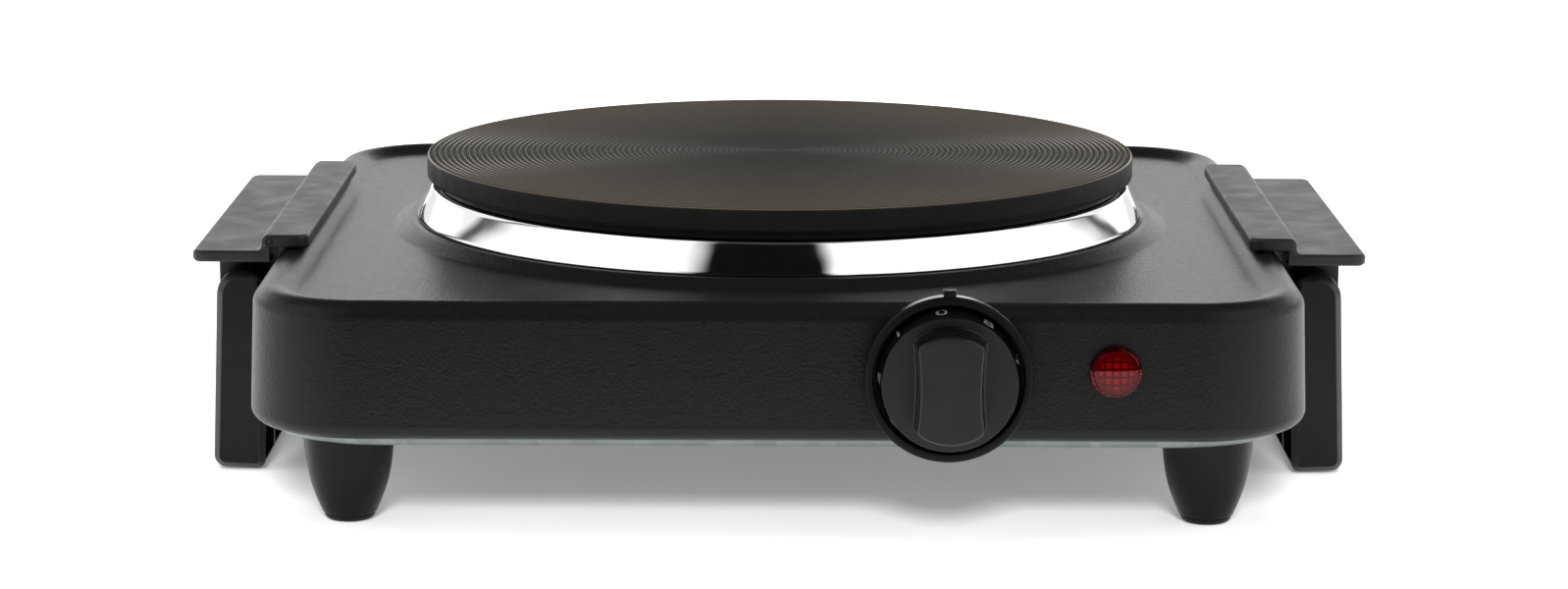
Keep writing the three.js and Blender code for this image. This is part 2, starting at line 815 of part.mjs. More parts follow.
function terminalBlock() {
  const body = prism(
    roundedRect(-blockLength / 2, -blockWidth / 2, blockLength / 2, blockWidth / 2, 2.5, 3), -blockHeight, 0,
  );
  const wells = [-1, 0, 1].map((k) => rod(poleRadius, -blockHeight - 1, -blockHeight + 4)
    .translate(k * polePitch, 0, 0));
  return cut(body, ...wells);
}

add('terminal_block', terminalBlock(), ceramic, [0, -blockOffset, coverFloorZ - clearance]);

// ------------------------------------------------------------------ thermostat, bezel and knob

const wallOutsideY = -bodyFront; // the widest line of the front wall
const plateFrontY = -bodyFront + sideDraft + sheet + clearance;
const plateBackY = plateFrontY + thermostatPlate;
const bodyFrontY = plateBackY + clearance;
const bezelBackY = wallOutsideY - clearance;
const bezelFrontY = bezelBackY - bezelDepth;
const knobFaceY = wallOutsideY - knobReach;
const knobBackY = bezelFrontY + knobOverlap;
const hubBackY = knobBackY + 1.4;
const spindleFrontY = knobFaceY + 1;
const spindleBackY = bodyFrontY + 12;

function thermostatMountingPlate() {
  const half = thermostatScrewSpacing / 2;
  const shape = roundedRect(
    -half - thermostatLug, -thermostatHeight / 2, half + thermostatLug, thermostatHeight / 2, 3, 2,
  );
  return cut(
    prismY(shape, plateFrontY, plateBackY),
    rodY(spindleRadius + 2, plateFrontY - 1, plateBackY + 1),
    ...[-half, half].map((x) => rodY(screwRadius + clearance, plateFrontY - 1, plateBackY + 1, 12)
      .translate(x, 0, 0)),
  );
}

function thermostatBody() {
  const w = thermostatWidth / 2;
  const h = thermostatHeight / 2;
  const backY = bodyFrontY + thermostatDepth;
  const body = prismY(roundedRect(-w, -h, w, h, 3, 2), bodyFrontY, backY);
  const half = thermostatScrewSpacing / 2;
  const terminals = [-0.6, 0, 0.6].map((t) => block(
    t * w - 3, t * w + 3, backY - 1, backY + 7, -0.4, 0.4,
  ));
  return cut(
    join(body, ...terminals),
    rodY(spindleRadius + clearance, bodyFrontY - 1, spindleBackY + clearance),
    ...[-half, half].map((x) => rodY(screwRadius + 1, bodyFrontY - 1, bodyFrontY + 6, 12)
      .translate(x, 0, 0)),
  );
}

add('thermostat_plate', thermostatMountingPlate(), galvanised, [knobX, 0, controlZ]);
add('thermostat_body', thermostatBody(), ceramic, [knobX, 0, controlZ]);
for (const [side, sign] of sides) {
  const length = plateBackY + 3 - (bezelBackY - bezelFloor);
  const geometry = screw(length).rotateX(-Math.PI / 2);
  const x = knobX + (sign * thermostatScrewSpacing) / 2;
  add(`thermostat_screw_${side}`, geometry, plainSteel, [x, bezelBackY - bezelFloor - clearance, controlZ]);
}

// A spindle with a flat at its front end; the flat fits the knob's bore.
function spindle(radius, frontY, backY) {
  const flatEndY = hubBackY;
  const flat = block(-radius, radius, frontY - 1, flatEndY, radius - spindleFlat, radius + 1);
  return cut(rodY(radius, frontY, backY), flat);
}

const spindleGeometry = spindle(spindleRadius, spindleFrontY, spindleBackY);
add('thermostat_spindle', spindleGeometry, plainSteel, [knobX, 0, controlZ]);

function knobBezel() {
  const ring = revolveForward(closed([
    [bezelHole, 0],
    [bezelRadius, 0],
    [bezelRadius - 0.4, bezelDepth - 0.6],
    [bezelRadius - 1, bezelDepth],
    [bezelOpening + 0.4, bezelDepth],
    [bezelOpening, bezelDepth - 0.4],
    [bezelOpening, bezelFloor],
    [bezelHole, bezelFloor],
  ]), 32).translate(0, bezelBackY, 0);
  const half = indexWidth / 2;
  const top = bezelRadius + indexHeight;
  const nib = prismY(
    shapeOf([[-half, bezelOpening + 1], [half, bezelOpening + 1], [half - 0.3, top], [0.3 - half, top]]),
    bezelFrontY + 0.9,
    bezelFrontY + 0.9 + indexLength,
  );
  const screwHoles = [-1, 1].map((sign) => rodY(screwRadius + clearance, bezelFrontY, bezelBackY + 1, 12)
    .translate((sign * thermostatScrewSpacing) / 2, 0, 0));
  return cut(join(ring, nib), ...screwHoles);
}

add('knob_bezel', knobBezel(), knobPlastic, [knobX, 0, controlZ]);

// The grip's outline: ends on a circle about the knob's axis, sides drawn in to a waist, corners cut.
function gripOutline(offset) {
  const endRadius = gripHalfHeight + offset;
  const endHalf = gripEndWidth / 2 + offset;
  const bow = (gripEndWidth - gripWaist) / 2;
  const cornerAngle = THREE.MathUtils.radToDeg(Math.acos(endHalf / endRadius));
  const cornerZ = Math.sqrt(endRadius ** 2 - endHalf ** 2);
  const cornerCut = 5; // degrees of the end arc
  const side = [-0.88, -0.6, -0.3, 0, 0.3, 0.6, 0.88].map((t) => [endHalf - bow * (1 - t * t), cornerZ * t]);
  const end = arc(0, 0, endRadius, cornerAngle + cornerCut, 180 - cornerAngle - cornerCut, 8);
  const corner = arc(0, 0, endRadius - 0.2, cornerAngle, cornerAngle, 1).slice(0, 1);
  const half = [...side, ...corner, ...end, ...corner.map(([x, z]) => [-x, z])];
  return [...half, ...half.map(([x, z]) => [-x, -z])];
}

function knob() {
  const depth = knobBackY - knobFaceY;
  const cap = revolveForward([
    [0, depth],
    [knobFaceRadius - 0.4, depth],
    [knobFaceRadius, depth - 0.4],
    [knobSkirtRadius, 0],
    [knobSkirtRadius - knobWall, 0],
    [knobFaceRadius - knobWall, depth - 2],
    [0, depth - 2],
  ], 32).translate(0, knobBackY, 0);
  const levels = [
    [gripDraft + gripFillet, knobFaceY + 1],
    [gripDraft + gripFillet, knobFaceY - 0.1],
    [gripDraft, knobFaceY - gripFillet],
    [0, knobFaceY - gripReach + gripEdge],
    [-gripEdge, knobFaceY - gripReach],
  ];
  const grip = loft(levels.map(
    ([offset, y]) => gripOutline(offset).map(([x, z]) => new THREE.Vector3(x, y, z)),
  ), false);
  const hub = rodY(hubRadius, knobFaceY + 1, hubBackY);
  const bore = spindle(spindleRadius + clearance, spindleFrontY - clearance, hubBackY + 1);
  return cut(join(cap, grip, hub), bore);
}

add('knob', knob(), knobPlastic, [knobX, 0, controlZ]);

// ------------------------------------------------------------------ pilot lamp

const lensBackY = wallOutsideY - clearance;

// A cap that is open at the back, with its stem through the wall.
function pilotLens() {
  return revolveForward([
    [0, lensReach],
    [lensFaceRadius, lensReach],
    [lensRadius - 0.3, 0.7],
    [lensRadius, 0.4],
    [lensRadius, 0],
    [lensStemRadius, 0],
    [lensStemRadius, -lensStem],
    [lensStemRadius - lensWall, -lensStem],
    [lensStemRadius - lensWall, lensReach - 2.2],
    [0, lensReach - 1.2],
  ], 24).translate(0, lensBackY, 0);
}

// A glow lamp whose base is held in the end of the lens's stem.
function neonLamp() {
  const baseRadius = lensStemRadius - lensWall - clearance;
  const baseStart = -lensStem + lampGrip;
  return revolveForward([
    ...arc(0, baseStart + bulbLength, bulbRadius, 90, 0, 4),
    [bulbRadius, baseStart],
    [baseRadius, baseStart],
    [baseRadius, baseStart - lampBase],
    [0, baseStart - lampBase],
  ], 14).translate(0, lensBackY, 0);
}

function lensRetainer() {
  const frontY = plateFrontY;
  return revolveForward(closed([
    [lensStemRadius + clearance, -retainerThickness],
    [retainerRadius, -retainerThickness],
    [retainerRadius, 0],
    [lensStemRadius + clearance, 0],
  ]), 16).translate(0, frontY, 0);
}

add('pilot_lens', pilotLens(), redLens, [lampX, 0, lampZ]);
add('neon_lamp', neonLamp(), clearGlass, [lampX, 0, lampZ]);
add('lens_retainer', lensRetainer(), plainSteel, [lampX, 0, lampZ]);

// ------------------------------------------------------------------ side brackets

const riserInnerX = bodyHalfWidth + riserGap;
const riserOuterX = riserInnerX + riserThickness;
const stripInnerX = riserOuterX - stripWidth;
const ledgeOuterX = riserOuterX + ledgeReach;

// Section across the housing's edge: strip on top, riser down the side, ledge outward.
function bracketSection() {
  const stripBottomZ = stripTopZ - stripThickness;
  const edge = bracketEdge;
  const fillet = bracketFillet;
  const steps = 2;
  return shapeOf([
    [stripInnerX, stripBottomZ],
    ...arc(stripInnerX + edge, stripTopZ - edge, edge, 180, 90, steps),
    ...arc(riserOuterX - edge, stripTopZ - edge, edge, 90, 0, steps),
    ...arc(riserOuterX + fillet, ledgeTopZ + fillet, fillet, 180, 270, steps),
    ...arc(ledgeOuterX - edge, ledgeTopZ - edge, edge, 90, 0, steps),
    ...arc(ledgeOuterX - edge, ledgeBottomZ + edge, edge, 0, -90, steps),
    [riserInnerX, ledgeBottomZ],
    [riserInnerX, stripBottomZ],
  ]);
}

function bracket() {
  const half = bracketLength / 2;
  const strap = prismY(bracketSection(), -half, half, 0.4);
  const stripPlan = roundedRect(stripInnerX, -half, riserOuterX, half, bracketCorner);
  const ledgePlan = roundedRect(riserInnerX - 2, -half, ledgeOuterX, half, bracketCorner);
  const plan = join(
    prism(stripPlan, ledgeBottomZ - 1, stripTopZ + 1),
    prism(ledgePlan, ledgeBottomZ - 1, ledgeTopZ + 0.7),
  );
  const lugOuterX = riserInnerX + lugWidth;
  const lugRound = lugWidth / 2;
  const lugShape = shapeOf([
    [riserInnerX, ledgeBottomZ + 1],
    ...arc(riserInnerX + lugRound, pivotZ, lugRound, 180, 360, 10),
    [lugOuterX, ledgeBottomZ + 1],
  ]);
  const lugs = [-1, 1].map((end) => prismY(
    lugShape, end * lugMiddleY - lugThickness / 2, end * lugMiddleY + lugThickness / 2,
  ));
  const bores = [-1, 1].flatMap((end) => [
    rodY(pinRadius + clearance, -lugThickness, lugThickness).translate(pivotX, end * lugMiddleY, pivotZ),
    rodX(screwRadius + clearance, riserInnerX - 1, riserInnerX + 9, 12)
      .translate(0, end * lugMiddleY, bracketScrewZ),
  ]);
  return cut(join(common(strap, plan), ...lugs), ...bores);
}

// ------------------------------------------------------------------ handles

// Drawn about its pivot, hanging straight down, for the right-hand side.
function handle() {
  const r = armWidth / 2;
  const half = handleLength / 2;
  const bottom = -handleDrop;
  const outerCorner = 3;
  const innerCorner = 2;
  const section = shapeOf([
    ...arc(0, 0, r, 0, 180, 10),
    ...arc(innerCorner - r, bottom + innerCorner, innerCorner, 180, 270, 3),
    ...arc(r - outerCorner, bottom + outerCorner, outerCorner, 270, 360, 4),
  ]);
  const gripTop = bottom + gripHeight;
  const innerY = half - armDepth;
  const window = prismX(roundedRect(-innerY, gripTop, innerY, 2 * handleDrop, 4), -2 * r, 2 * r);
  const pocketX = r - channelWall;
  const pocket = (y0, y1, z0, z1) => block(-2 * r, pocketX, y0, y1, z0, z1);
  const low = bottom + channelWall;
  const armPockets = [-1, 1].map((end) => {
    const [a, b] = [end * (innerY + channelWall), end * (half - channelWall)];
    return pocket(Math.min(a, b), Math.max(a, b), low, -r - channelWall);
  });
  const end = half - channelWall;
  const bay = (2 * end - ribCount * ribThickness) / (ribCount + 1);
  const gripPockets = [];
  for (let k = 0; k <= ribCount; k++) {
    const y0 = -end + k * (bay + ribThickness);
    gripPockets.push(pocket(y0, y0 + bay, low, gripTop - channelWall));
  }
  const bores = [-1, 1].map((sign) => rodY(
    pinRadius + clearance, -pinReach - clearance, pinReach + clearance,
  ).translate(0, sign * innerY, 0));
  return cut(prismY(section, -half, half, armEdge), window, ...armPockets, ...gripPockets, ...bores);
}

const bracketGeometry = bracket();
const handleGeometry = handle();
const pinInnerY = lugMiddleY - lugThickness / 2 + clearance;
const pinOuterY = handleLength / 2 - armDepth + pinReach;
const pinGeometry = rodY(pinRadius, pinInnerY, pinOuterY);
const mountedWallX = bodyHalfWidth - innerInset(bracketScrewZ + screwHeadRadius) - clearance;
const bracketScrewGeometry = screw(riserInnerX + 8 - mountedWallX).rotateY(Math.PI / 2);

for (const [side, sign] of sides) {
  const turned = (geometry) => (sign < 0 ? mirrorX(geometry) : geometry);
  add(`bracket_${side}`, turned(bracketGeometry), moulding);
  const hanging = add(`handle_${side}`, turned(handleGeometry), darkMoulding, [sign * pivotX, 0, pivotZ]);
  hanging.rotation.y = -sign * degrees(handleLean);
  for (const [end, direction] of [['front', -1], ['back', 1]]) {
    const pin = direction < 0 ? pinGeometry.clone().rotateZ(Math.PI) : pinGeometry;
    add(`hinge_pin_${side}_${end}`, pin, plainSteel, [sign * pivotX, 0, pivotZ]);
    const fixing = turned(bracketScrewGeometry);
    const place = [sign * mountedWallX, direction * lugMiddleY, bracketScrewZ];
    add(`bracket_screw_${side}_${end}`, fixing, plainSteel, place);
  }
}

// ------------------------------------------------------------------ cord inlet

// A grommet whose groove holds the edge of the hole in the rear wall.
function cordGrommet() {
  const wallBackY = bodyBack - wallInset(inletZ + inletRadius) - clearance;
  const outer = inletRadius + inletFlange;
  const outsideY = bodyBack + clearance;
  const insideY = wallBackY - sheet - 2 * clearance;
  return revolveForward(closed([
    [inletBore, -outsideY - 2],
    [outer - 1, -outsideY - 2],
    [outer, -outsideY - 1],
    [outer, -outsideY],
    [inletRadius, -outsideY],
    [inletRadius, -insideY],
    [outer, -insideY],
    [outer - 0.6, -insideY + 2],
    [inletBore, -insideY + 2],
  ]), 16);
}

add('cord_grommet', cordGrommet(), rubber, [inletX, 0, inletZ]);

// ------------------------------------------------------------------ origin

const frontmostY = knobFaceY - gripReach;
const rearmostY = bodyBack + clearance + 2;
hotPlate.position.y = -(frontmostY + rearmostY) / 2;

export default hotPlate;
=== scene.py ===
"""The looks of a single electric hot plate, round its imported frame. Metres, +Z up, the knob faces -Y."""

import json
from math import asin, cos, degrees, hypot, pi, radians, sin, sqrt

import bmesh
import bpy
from mathutils import Matrix, Vector


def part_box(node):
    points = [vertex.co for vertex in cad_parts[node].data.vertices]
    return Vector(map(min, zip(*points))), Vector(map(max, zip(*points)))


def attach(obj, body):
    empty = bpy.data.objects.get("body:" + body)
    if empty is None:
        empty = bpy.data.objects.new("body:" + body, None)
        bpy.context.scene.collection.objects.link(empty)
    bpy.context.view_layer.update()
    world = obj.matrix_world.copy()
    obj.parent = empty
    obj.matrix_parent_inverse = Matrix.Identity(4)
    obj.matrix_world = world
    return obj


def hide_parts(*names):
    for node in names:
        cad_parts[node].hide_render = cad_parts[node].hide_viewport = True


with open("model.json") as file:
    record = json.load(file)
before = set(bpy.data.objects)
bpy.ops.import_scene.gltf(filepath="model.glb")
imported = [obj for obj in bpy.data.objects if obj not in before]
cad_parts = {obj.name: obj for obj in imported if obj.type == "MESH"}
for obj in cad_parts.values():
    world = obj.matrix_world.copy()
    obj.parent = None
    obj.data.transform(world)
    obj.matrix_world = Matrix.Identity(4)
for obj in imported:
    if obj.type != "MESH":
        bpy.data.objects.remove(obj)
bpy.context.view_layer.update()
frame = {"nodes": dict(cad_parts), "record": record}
scene = bpy.context.scene

MM = 0.001

# ---- sizes of the part that its boxes don't give

CORNER = 28 * MM
DRAFT = 0.9 * MM
LOWER_EDGE = 3.5 * MM
UPPER_EDGE = 4.5 * MM
BEAD_FALL = 6.5 * MM
BEAD_HEIGHT = 2 * MM
COLLAR_HEIGHT = 2.4 * MM
COLLAR_SLOPE = 5.3 * MM
COLLAR_LIP = 2.9 * MM
LIP_RADIUS = 1.5 * MM
SHEET = 0.8 * MM
RING_LAND = 1.3 * MM
RING_SHEET = 1 * MM
RIM_HEIGHT = 5.8 * MM
RIM_OVERHANG = 3.3 * MM
NECK_HEIGHT = 2.1 * MM
SHOULDER = 1.7 * MM
OPENING_MARGIN = 0.5 * MM
FACET_PITCH = 1.85 * MM  # of the square facets in the pilot lamp
FACET_FIELD = 3.9 * MM  # radius of the round field that they fill
CLEARANCE = 0.3 * MM

# ---- places from the frame


def centre(low, high):
    return [(a + b) / 2 for a, b in zip(low, high)]


housing_low, housing_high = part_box("housing")
plate_low, plate_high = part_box("hot_plate")
ring_low, ring_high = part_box("trim_ring")
bezel_low, bezel_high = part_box("knob_bezel")
knob_low, knob_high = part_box("knob")
lens_low, lens_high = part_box("pilot_lens")

HALF_WIDTH = housing_high.x
FRONT = housing_low.y
BACK = housing_high.y
BOTTOM_Z = housing_low.z
COLLAR_Z = housing_high.z
PANEL_Z = COLLAR_Z - COLLAR_HEIGHT
CREST_Z = PANEL_Z + BEAD_HEIGHT
PLATE_RADIUS = plate_high.x
PLATE_Z = plate_high.z
AXIS_Y = centre(plate_low, plate_high)[1]
NECK_RADIUS = PLATE_RADIUS - RIM_OVERHANG
SKIRT_RADIUS = NECK_RADIUS - SHOULDER
RING_RADIUS = ring_high.x
COLLAR_RADIUS = RING_RADIUS + RING_LAND
OPENING_RADIUS = SKIRT_RADIUS + OPENING_MARGIN
KNOB_X, _, KNOB_Z = centre(knob_low, knob_high)
LENS_X, _, LENS_Z = centre(lens_low, lens_high)

# ---- finishes


def assign(thing, **settings):
    for key, value in settings.items():
        setattr(thing, key, value)
    return thing


def add_node(tree, kind, inputs=None, **settings):
    """A node with its settings, and a value or a link for each input named."""
    made = assign(tree.nodes.new("ShaderNode" + kind), **settings)
    for socket, value in (inputs or {}).items():
        if isinstance(value, bpy.types.NodeSocket):
            tree.links.new(value, made.inputs[socket])
        else:
            made.inputs[socket].default_value = value
    return made


class Finish:
    """A Principled material with nodes before it, for a slot of the record or for the floor."""

    def __init__(self, slot, name=None, **values):
        self.slot = slot
        self.material = bpy.data.materials.new(name or slot)
        self.material.use_nodes = True
        self.tree = self.material.node_tree
        self.shader = self.tree.nodes["Principled BSDF"]
        self.place = self.tree.nodes.new("ShaderNodeTexCoord").outputs["Object"]
        self.height = None
        for socket, value in values.items():
            self.shader.inputs[socket.replace("_", " ")].default_value = value

    def node(self, kind, inputs=None, **settings):
        return add_node(self.tree, kind, inputs, **settings)

    def noise(self, size, detail=2.0):
        """Noise whose features are about this many metres across."""
        inputs = {"Vector": self.place, "Scale": 1 / size, "Detail": detail}
        return self.node("TexNoise", inputs).outputs["Fac"]

    def spread(self, fac, low, high, start=0.3, end=0.7):
        """A number from low to high as fac goes from start to end."""
        inputs = {"Value": fac, "From Min": start, "From Max": end, "To Min": low, "To Max": high}
        return self.node("MapRange", inputs).outputs["Result"]

    def blend(self, fac, first, second):
        """A colour between two colours."""
        ends = [end if isinstance(end, bpy.types.NodeSocket) else (*end, 1) for end in (first, second)]
        inputs = {"Factor": fac, 6: ends[0], 7: ends[1]}
        return self.node("Mix", inputs, data_type="RGBA").outputs[2]

    def feed(self, socket, value):
        self.tree.links.new(value, self.shader.inputs[socket])

    def colour(self, first, second, size, detail=3.0):
        fac = self.spread(self.noise(size, detail), 0, 1)
        self.feed("Base Color", self.blend(fac, first, second))
        return self

    def sheen(self, low, high, size, detail=2.0):
        """Roughness that varies between two values."""
        self.feed("Roughness", self.spread(self.noise(size, detail), low, high))
        return self

    def maths(self, operation, *values):
        return self.node("Math", dict(enumerate(values)), operation=operation).outputs[0]

    def zigzag(self, value, middle):
        """How far across a facet, from 0 at its middle to 1 at the groove."""
        folded = self.maths("PINGPONG", self.maths("SUBTRACT", value, middle), FACET_PITCH / 2)
        return self.maths("DIVIDE", folded, FACET_PITCH / 2)

    def distance(self, middle, axes):
        """How far a point lies from middle along the axes marked 1, in metres."""
        offset = self.place
        for operation, value in (("SUBTRACT", middle), ("MULTIPLY", axes)):
            offset = self.node("VectorMath", {0: offset, 1: value}, operation=operation).outputs[0]
        return self.node("VectorMath", {0: offset}, operation="LENGTH").outputs["Value"]

    def relief(self, fac, depth):
        """Adds bumps of this depth in metres on top of those before."""
        inputs = {"Height": fac, "Strength": 1.0, "Distance": depth}
        if self.height is not None:
            inputs["Normal"] = self.height
        self.height = self.node("Bump", inputs).outputs["Normal"]
        self.feed("Normal", self.height)
        return self

    def grain(self, size, depth, detail=2.0):
        return self.relief(self.noise(size, detail), depth)


def grey(value):
    return value, value, value


def plain(slot, colours, sheen, grain, name=None, **values):
    """A finish from two colours, two values of roughness and a bump, each with the size of its patches."""
    return Finish(slot, name, **values).colour(*colours).sheen(*sheen).grain(*grain)


def powder_coat():
    paint = Finish("black_powder_coat", Specular_IOR_Level=0.20)
    paint.colour((0.0045, 0.0047, 0.0054), (0.0062, 0.0064, 0.0072), 0.002)
    paint.sheen(0.34, 0.38, 0.0015)
    return paint.grain(0.0008, 0.00011).grain(0.0004, 0.00004)


def turned_iron():
    """Cast iron, blackened and browned a little by wear."""
    iron = Finish("cast_iron", Specular_IOR_Level=0.05)
    fleck = iron.spread(iron.noise(0.0007, 3.0), 0, 1)
    cloud = iron.spread(iron.noise(0.014, 4.0), 0, 1)
    light = iron.blend(cloud, (0.0162, 0.0144, 0.0107), (0.0188, 0.0167, 0.0124))
    iron.feed("Base Color", iron.blend(fleck, (0.0108, 0.0095, 0.0071), light))
    iron.sheen(0.62, 0.68, 0.0009)
    return iron.grain(0.0010, 0.00004, 4.0)


def groove_iron():
    """The walls of the turned grooves, painted brighter towards the rim as a painted sheen, and less rough
    there.
    """
    iron = Finish("cast_iron", "cast_iron_groove", Specular_IOR_Level=0.30)
    away = iron.distance((0, AXIS_Y, 0), (1, 1, 0))
    # painted sheen: the walls' colour goes from near black at the centre to light brown at the rim
    painted_sheen_share = iron.spread(away, 0, 1, 0.2 * PLATE_RADIUS, 0.95 * PLATE_RADIUS)
    iron.feed("Base Color", iron.blend(painted_sheen_share, (0.010, 0.0087, 0.0063), (0.135, 0.108, 0.070)))
    iron.feed("Roughness", iron.spread(painted_sheen_share, 0.62, 0.34, 0, 1))
    return iron.grain(0.0008, 0.00002)


def chrome():
    steel = Finish("polished_steel", Metallic=1.0)
    steel.colour((0.93, 0.93, 0.91), (0.97, 0.97, 0.95), 0.02)
    steel.sheen(0.03, 0.07, 0.006, 3.0)
    return steel.grain(0.008, 0.00010, 0.0).grain(0.0006, 0.0000006)


def sheet_zinc():
    zinc = Finish("galvanised_steel", Metallic=0.85)
    spangle = zinc.node("TexVoronoi", {"Vector": zinc.place, "Scale": 220.0})
    fac = zinc.spread(spangle.outputs["Color"], 0, 1, 0.2, 0.8)
    zinc.feed("Base Color", zinc.blend(fac, (0.155, 0.178, 0.172), (0.205, 0.232, 0.226)))
    zinc.feed("Roughness", zinc.spread(fac, 0.30, 0.42, 0, 1))
    return zinc.grain(0.0015, 0.000008)


def moulding(slot, dark, light, low, high, mottle, level=0.3):
    """A thermoset moulding with cloudy colour and a slightly uneven skin."""
    made = Finish(slot, Specular_IOR_Level=level)
    made.colour(dark, light, mottle, 4.0)
    made.sheen(low, high, mottle * 0.7, 4.0)
    return made.grain(0.0009, 0.000010, 3.0)


def dial_print():
    ink = Finish("knob_moulding", "dial_print", Specular_IOR_Level=0.3)
    return ink.colour((0.11, 0.13, 0.13), (0.18, 0.20, 0.20), 0.0008).sheen(0.35, 0.5, 0.001)


def wire():
    made = Finish("resistance_wire", Metallic=0.8)
    made.colour((0.12, 0.10, 0.09), (0.20, 0.18, 0.16), 0.001).sheen(0.4, 0.55, 0.001)
    turns = made.node("TexWave", {"Vector": made.place, "Scale": 300.0}, wave_type="BANDS")
    return made.relief(turns.outputs["Fac"], 0.0002)


def red_plastic():
    """The jewel's insert: facet middles painted bright red as painted highlights, the grooves painted dark as
    painted shade, and a darker red border beyond them.
    """
    made = Finish("red_lens", "red_jewel")
    parts = made.node("SeparateXYZ", {"Vector": made.place})
    across, up = made.zigzag(parts.outputs["X"], LENS_X), made.zigzag(parts.outputs["Z"], LENS_Z)
    edge = made.maths("MAXIMUM", across, up)
    # painted highlights on the facet middles and painted shade in the grooves between them
    facets = made.blend(made.spread(edge, 0, 1, 0.45, 0.85), (0.95, 0.012, 0.065), (0.12, 0.001, 0.005))
    away = made.distance((LENS_X, 0, LENS_Z), (1, 0, 1))
    beyond = made.spread(away, 0, 1, FACET_FIELD - 0.1 * MM, FACET_FIELD)
    made.feed("Base Color", made.blend(beyond, facets, (0.22, 0.003, 0.009)))
    return made.sheen(0.12, 0.2, 0.001).grain(0.0009, 0.000004)


finishes = {made.slot: made for made in (
    powder_coat(),
    turned_iron(),
    chrome(),
    sheet_zinc(),
    plain(
        "plated_steel", ((0.46, 0.46, 0.44), (0.60, 0.60, 0.57), 0.003), (0.25, 0.4, 0.002),
        (0.0008, 0.000004), Metallic=1.0,
    ),
    moulding("bracket_moulding", (0.010, 0.010, 0.0085), (0.019, 0.019, 0.0155), 0.42, 0.52, 0.011, 0.40),
    moulding("handle_moulding", grey(0.0030), grey(0.0048), 0.22, 0.28, 0.012, 0.17),
    moulding("foot_moulding", grey(0.003), grey(0.005), 0.32, 0.38, 0.012, 0.15),
    moulding("knob_moulding", (0.009, 0.009, 0.0095), (0.012, 0.012, 0.0125), 0.40, 0.46, 0.008, 0.25),
    plain(
        "rubber", (grey(0.004), grey(0.006), 0.003), (0.42, 0.5, 0.002), (0.0007, 0.00002),
        Specular_IOR_Level=0.15,
    ),
    plain("ceramic", ((0.60, 0.56, 0.47), (0.72, 0.68, 0.58), 0.004), (0.6, 0.75, 0.003), (0.0006, 0.00002)),
    wire(),
    plain(
        "red_lens", ((0.56, 0.010, 0.018), (0.64, 0.016, 0.026), 0.002), (0.02, 0.05, 0.001),
        (0.003, 0.000002), "red_cap", Transmission_Weight=1.0, IOR=1.31,
    ),
    plain(
        "lamp_glass", ((0.92, 0.90, 0.86), (0.98, 0.96, 0.93), 0.002), (0.02, 0.05, 0.001), (0.002, 0.000003),
        Transmission_Weight=1.0, IOR=1.5,
    ),
)}
gloss = plain(
    "knob_moulding", ((0.003, 0.003, 0.0035), (0.0045, 0.0045, 0.005), 0.004), (0.06, 0.10, 0.003),
    (0.002, 0.000002), "knob_gloss", Specular_IOR_Level=0.24,
)
surround = plain(
    "knob_moulding", ((0.0038, 0.0038, 0.0040), (0.0052, 0.0052, 0.0055), 0.006), (0.40, 0.46, 0.004),
    (0.0009, 0.00001), "bezel_moulding", Specular_IOR_Level=0.11,
)
flank = plain(  # the plate's sides and underside, a little darker, greyer and glossier than its top
    "cast_iron", ((0.011, 0.0108, 0.0105), (0.015, 0.0148, 0.0142), 0.006), (0.5, 0.6, 0.004),
    (0.0009, 0.00002), "cast_iron_flank", Specular_IOR_Level=0.12,
)
bright = groove_iron()
painted_edge_highlight = plain(  # the handles' chamfered edges, painted lighter as a painted highlight, with a stronger specular reflection
    "handle_moulding", (grey(0.005), grey(0.008), 0.006), (0.30, 0.38, 0.004),
    (0.0009, 0.00001), "handle_edge", Specular_IOR_Level=0.45,
)
# A glossy grey finish for the bezel's sides and index and the grip's front edge; on the bezel it is lighter
# than the front: a painted highlight.
satin_and_highlight = plain(
    "knob_moulding", (grey(0.008), grey(0.012), 0.004), (0.12, 0.18, 0.003),
    (0.002, 0.000003), "knob_satin", Specular_IOR_Level=0.38,
)
ink = dial_print()
jewel = red_plastic()


def dress_frame():
    """Every CAD node gets its slot's finish; most of those in sight are replaced further down."""
    slots = {part["node"]: part["material_slot"] for part in frame["record"]["subparts"]}
    for node, obj in frame["nodes"].items():
        obj.data.materials.clear()
        obj.data.materials.append(finishes[slots[node]].material)


# ---- mesh helpers

BACKWARD = Matrix(((1, 0, 0, 0), (0, 0, -1, 0), (0, 1, 0, 0), (0, 0, 0, 1)))  # +Z heights turned to face -Y
FORWARD = Matrix(((1, 0, 0, 0), (0, 0, 1, 0), (0, -1, 0, 0), (0, 0, 0, 1)))  # and to face +Y


def turn(cx, cy, radius, start, end, steps):
    """Points of an arc, in degrees."""
    angles = [radians(start + (end - start) * k / steps) for k in range(steps + 1)]
    return [(cx + radius * cos(a), cy + radius * sin(a)) for a in angles]


def ease(t):
    return (1 - cos(pi * t)) / 2


def skin(rings, closed):
    """Vertices and faces through rings of equally many points; a ring of one point is a pole."""
    vertices, rows, faces = [], [], []
    for ring in rings:
        rows.append(range(len(vertices), len(vertices) + len(ring)))
        vertices.extend(ring)
    pairs = list(zip(rows, rows[1:])) + ([(rows[-1], rows[0])] if closed else [])
    for a, b in pairs:
        count = max(len(a), len(b))
        if count == 1:
            continue
        for k in range(count):
            n = (k + 1) % count
            corners = [a[k % len(a)], a[n % len(a)], b[n % len(b)], b[k % len(b)]]
            faces.append(list(dict.fromkeys(corners)))
    return vertices, faces


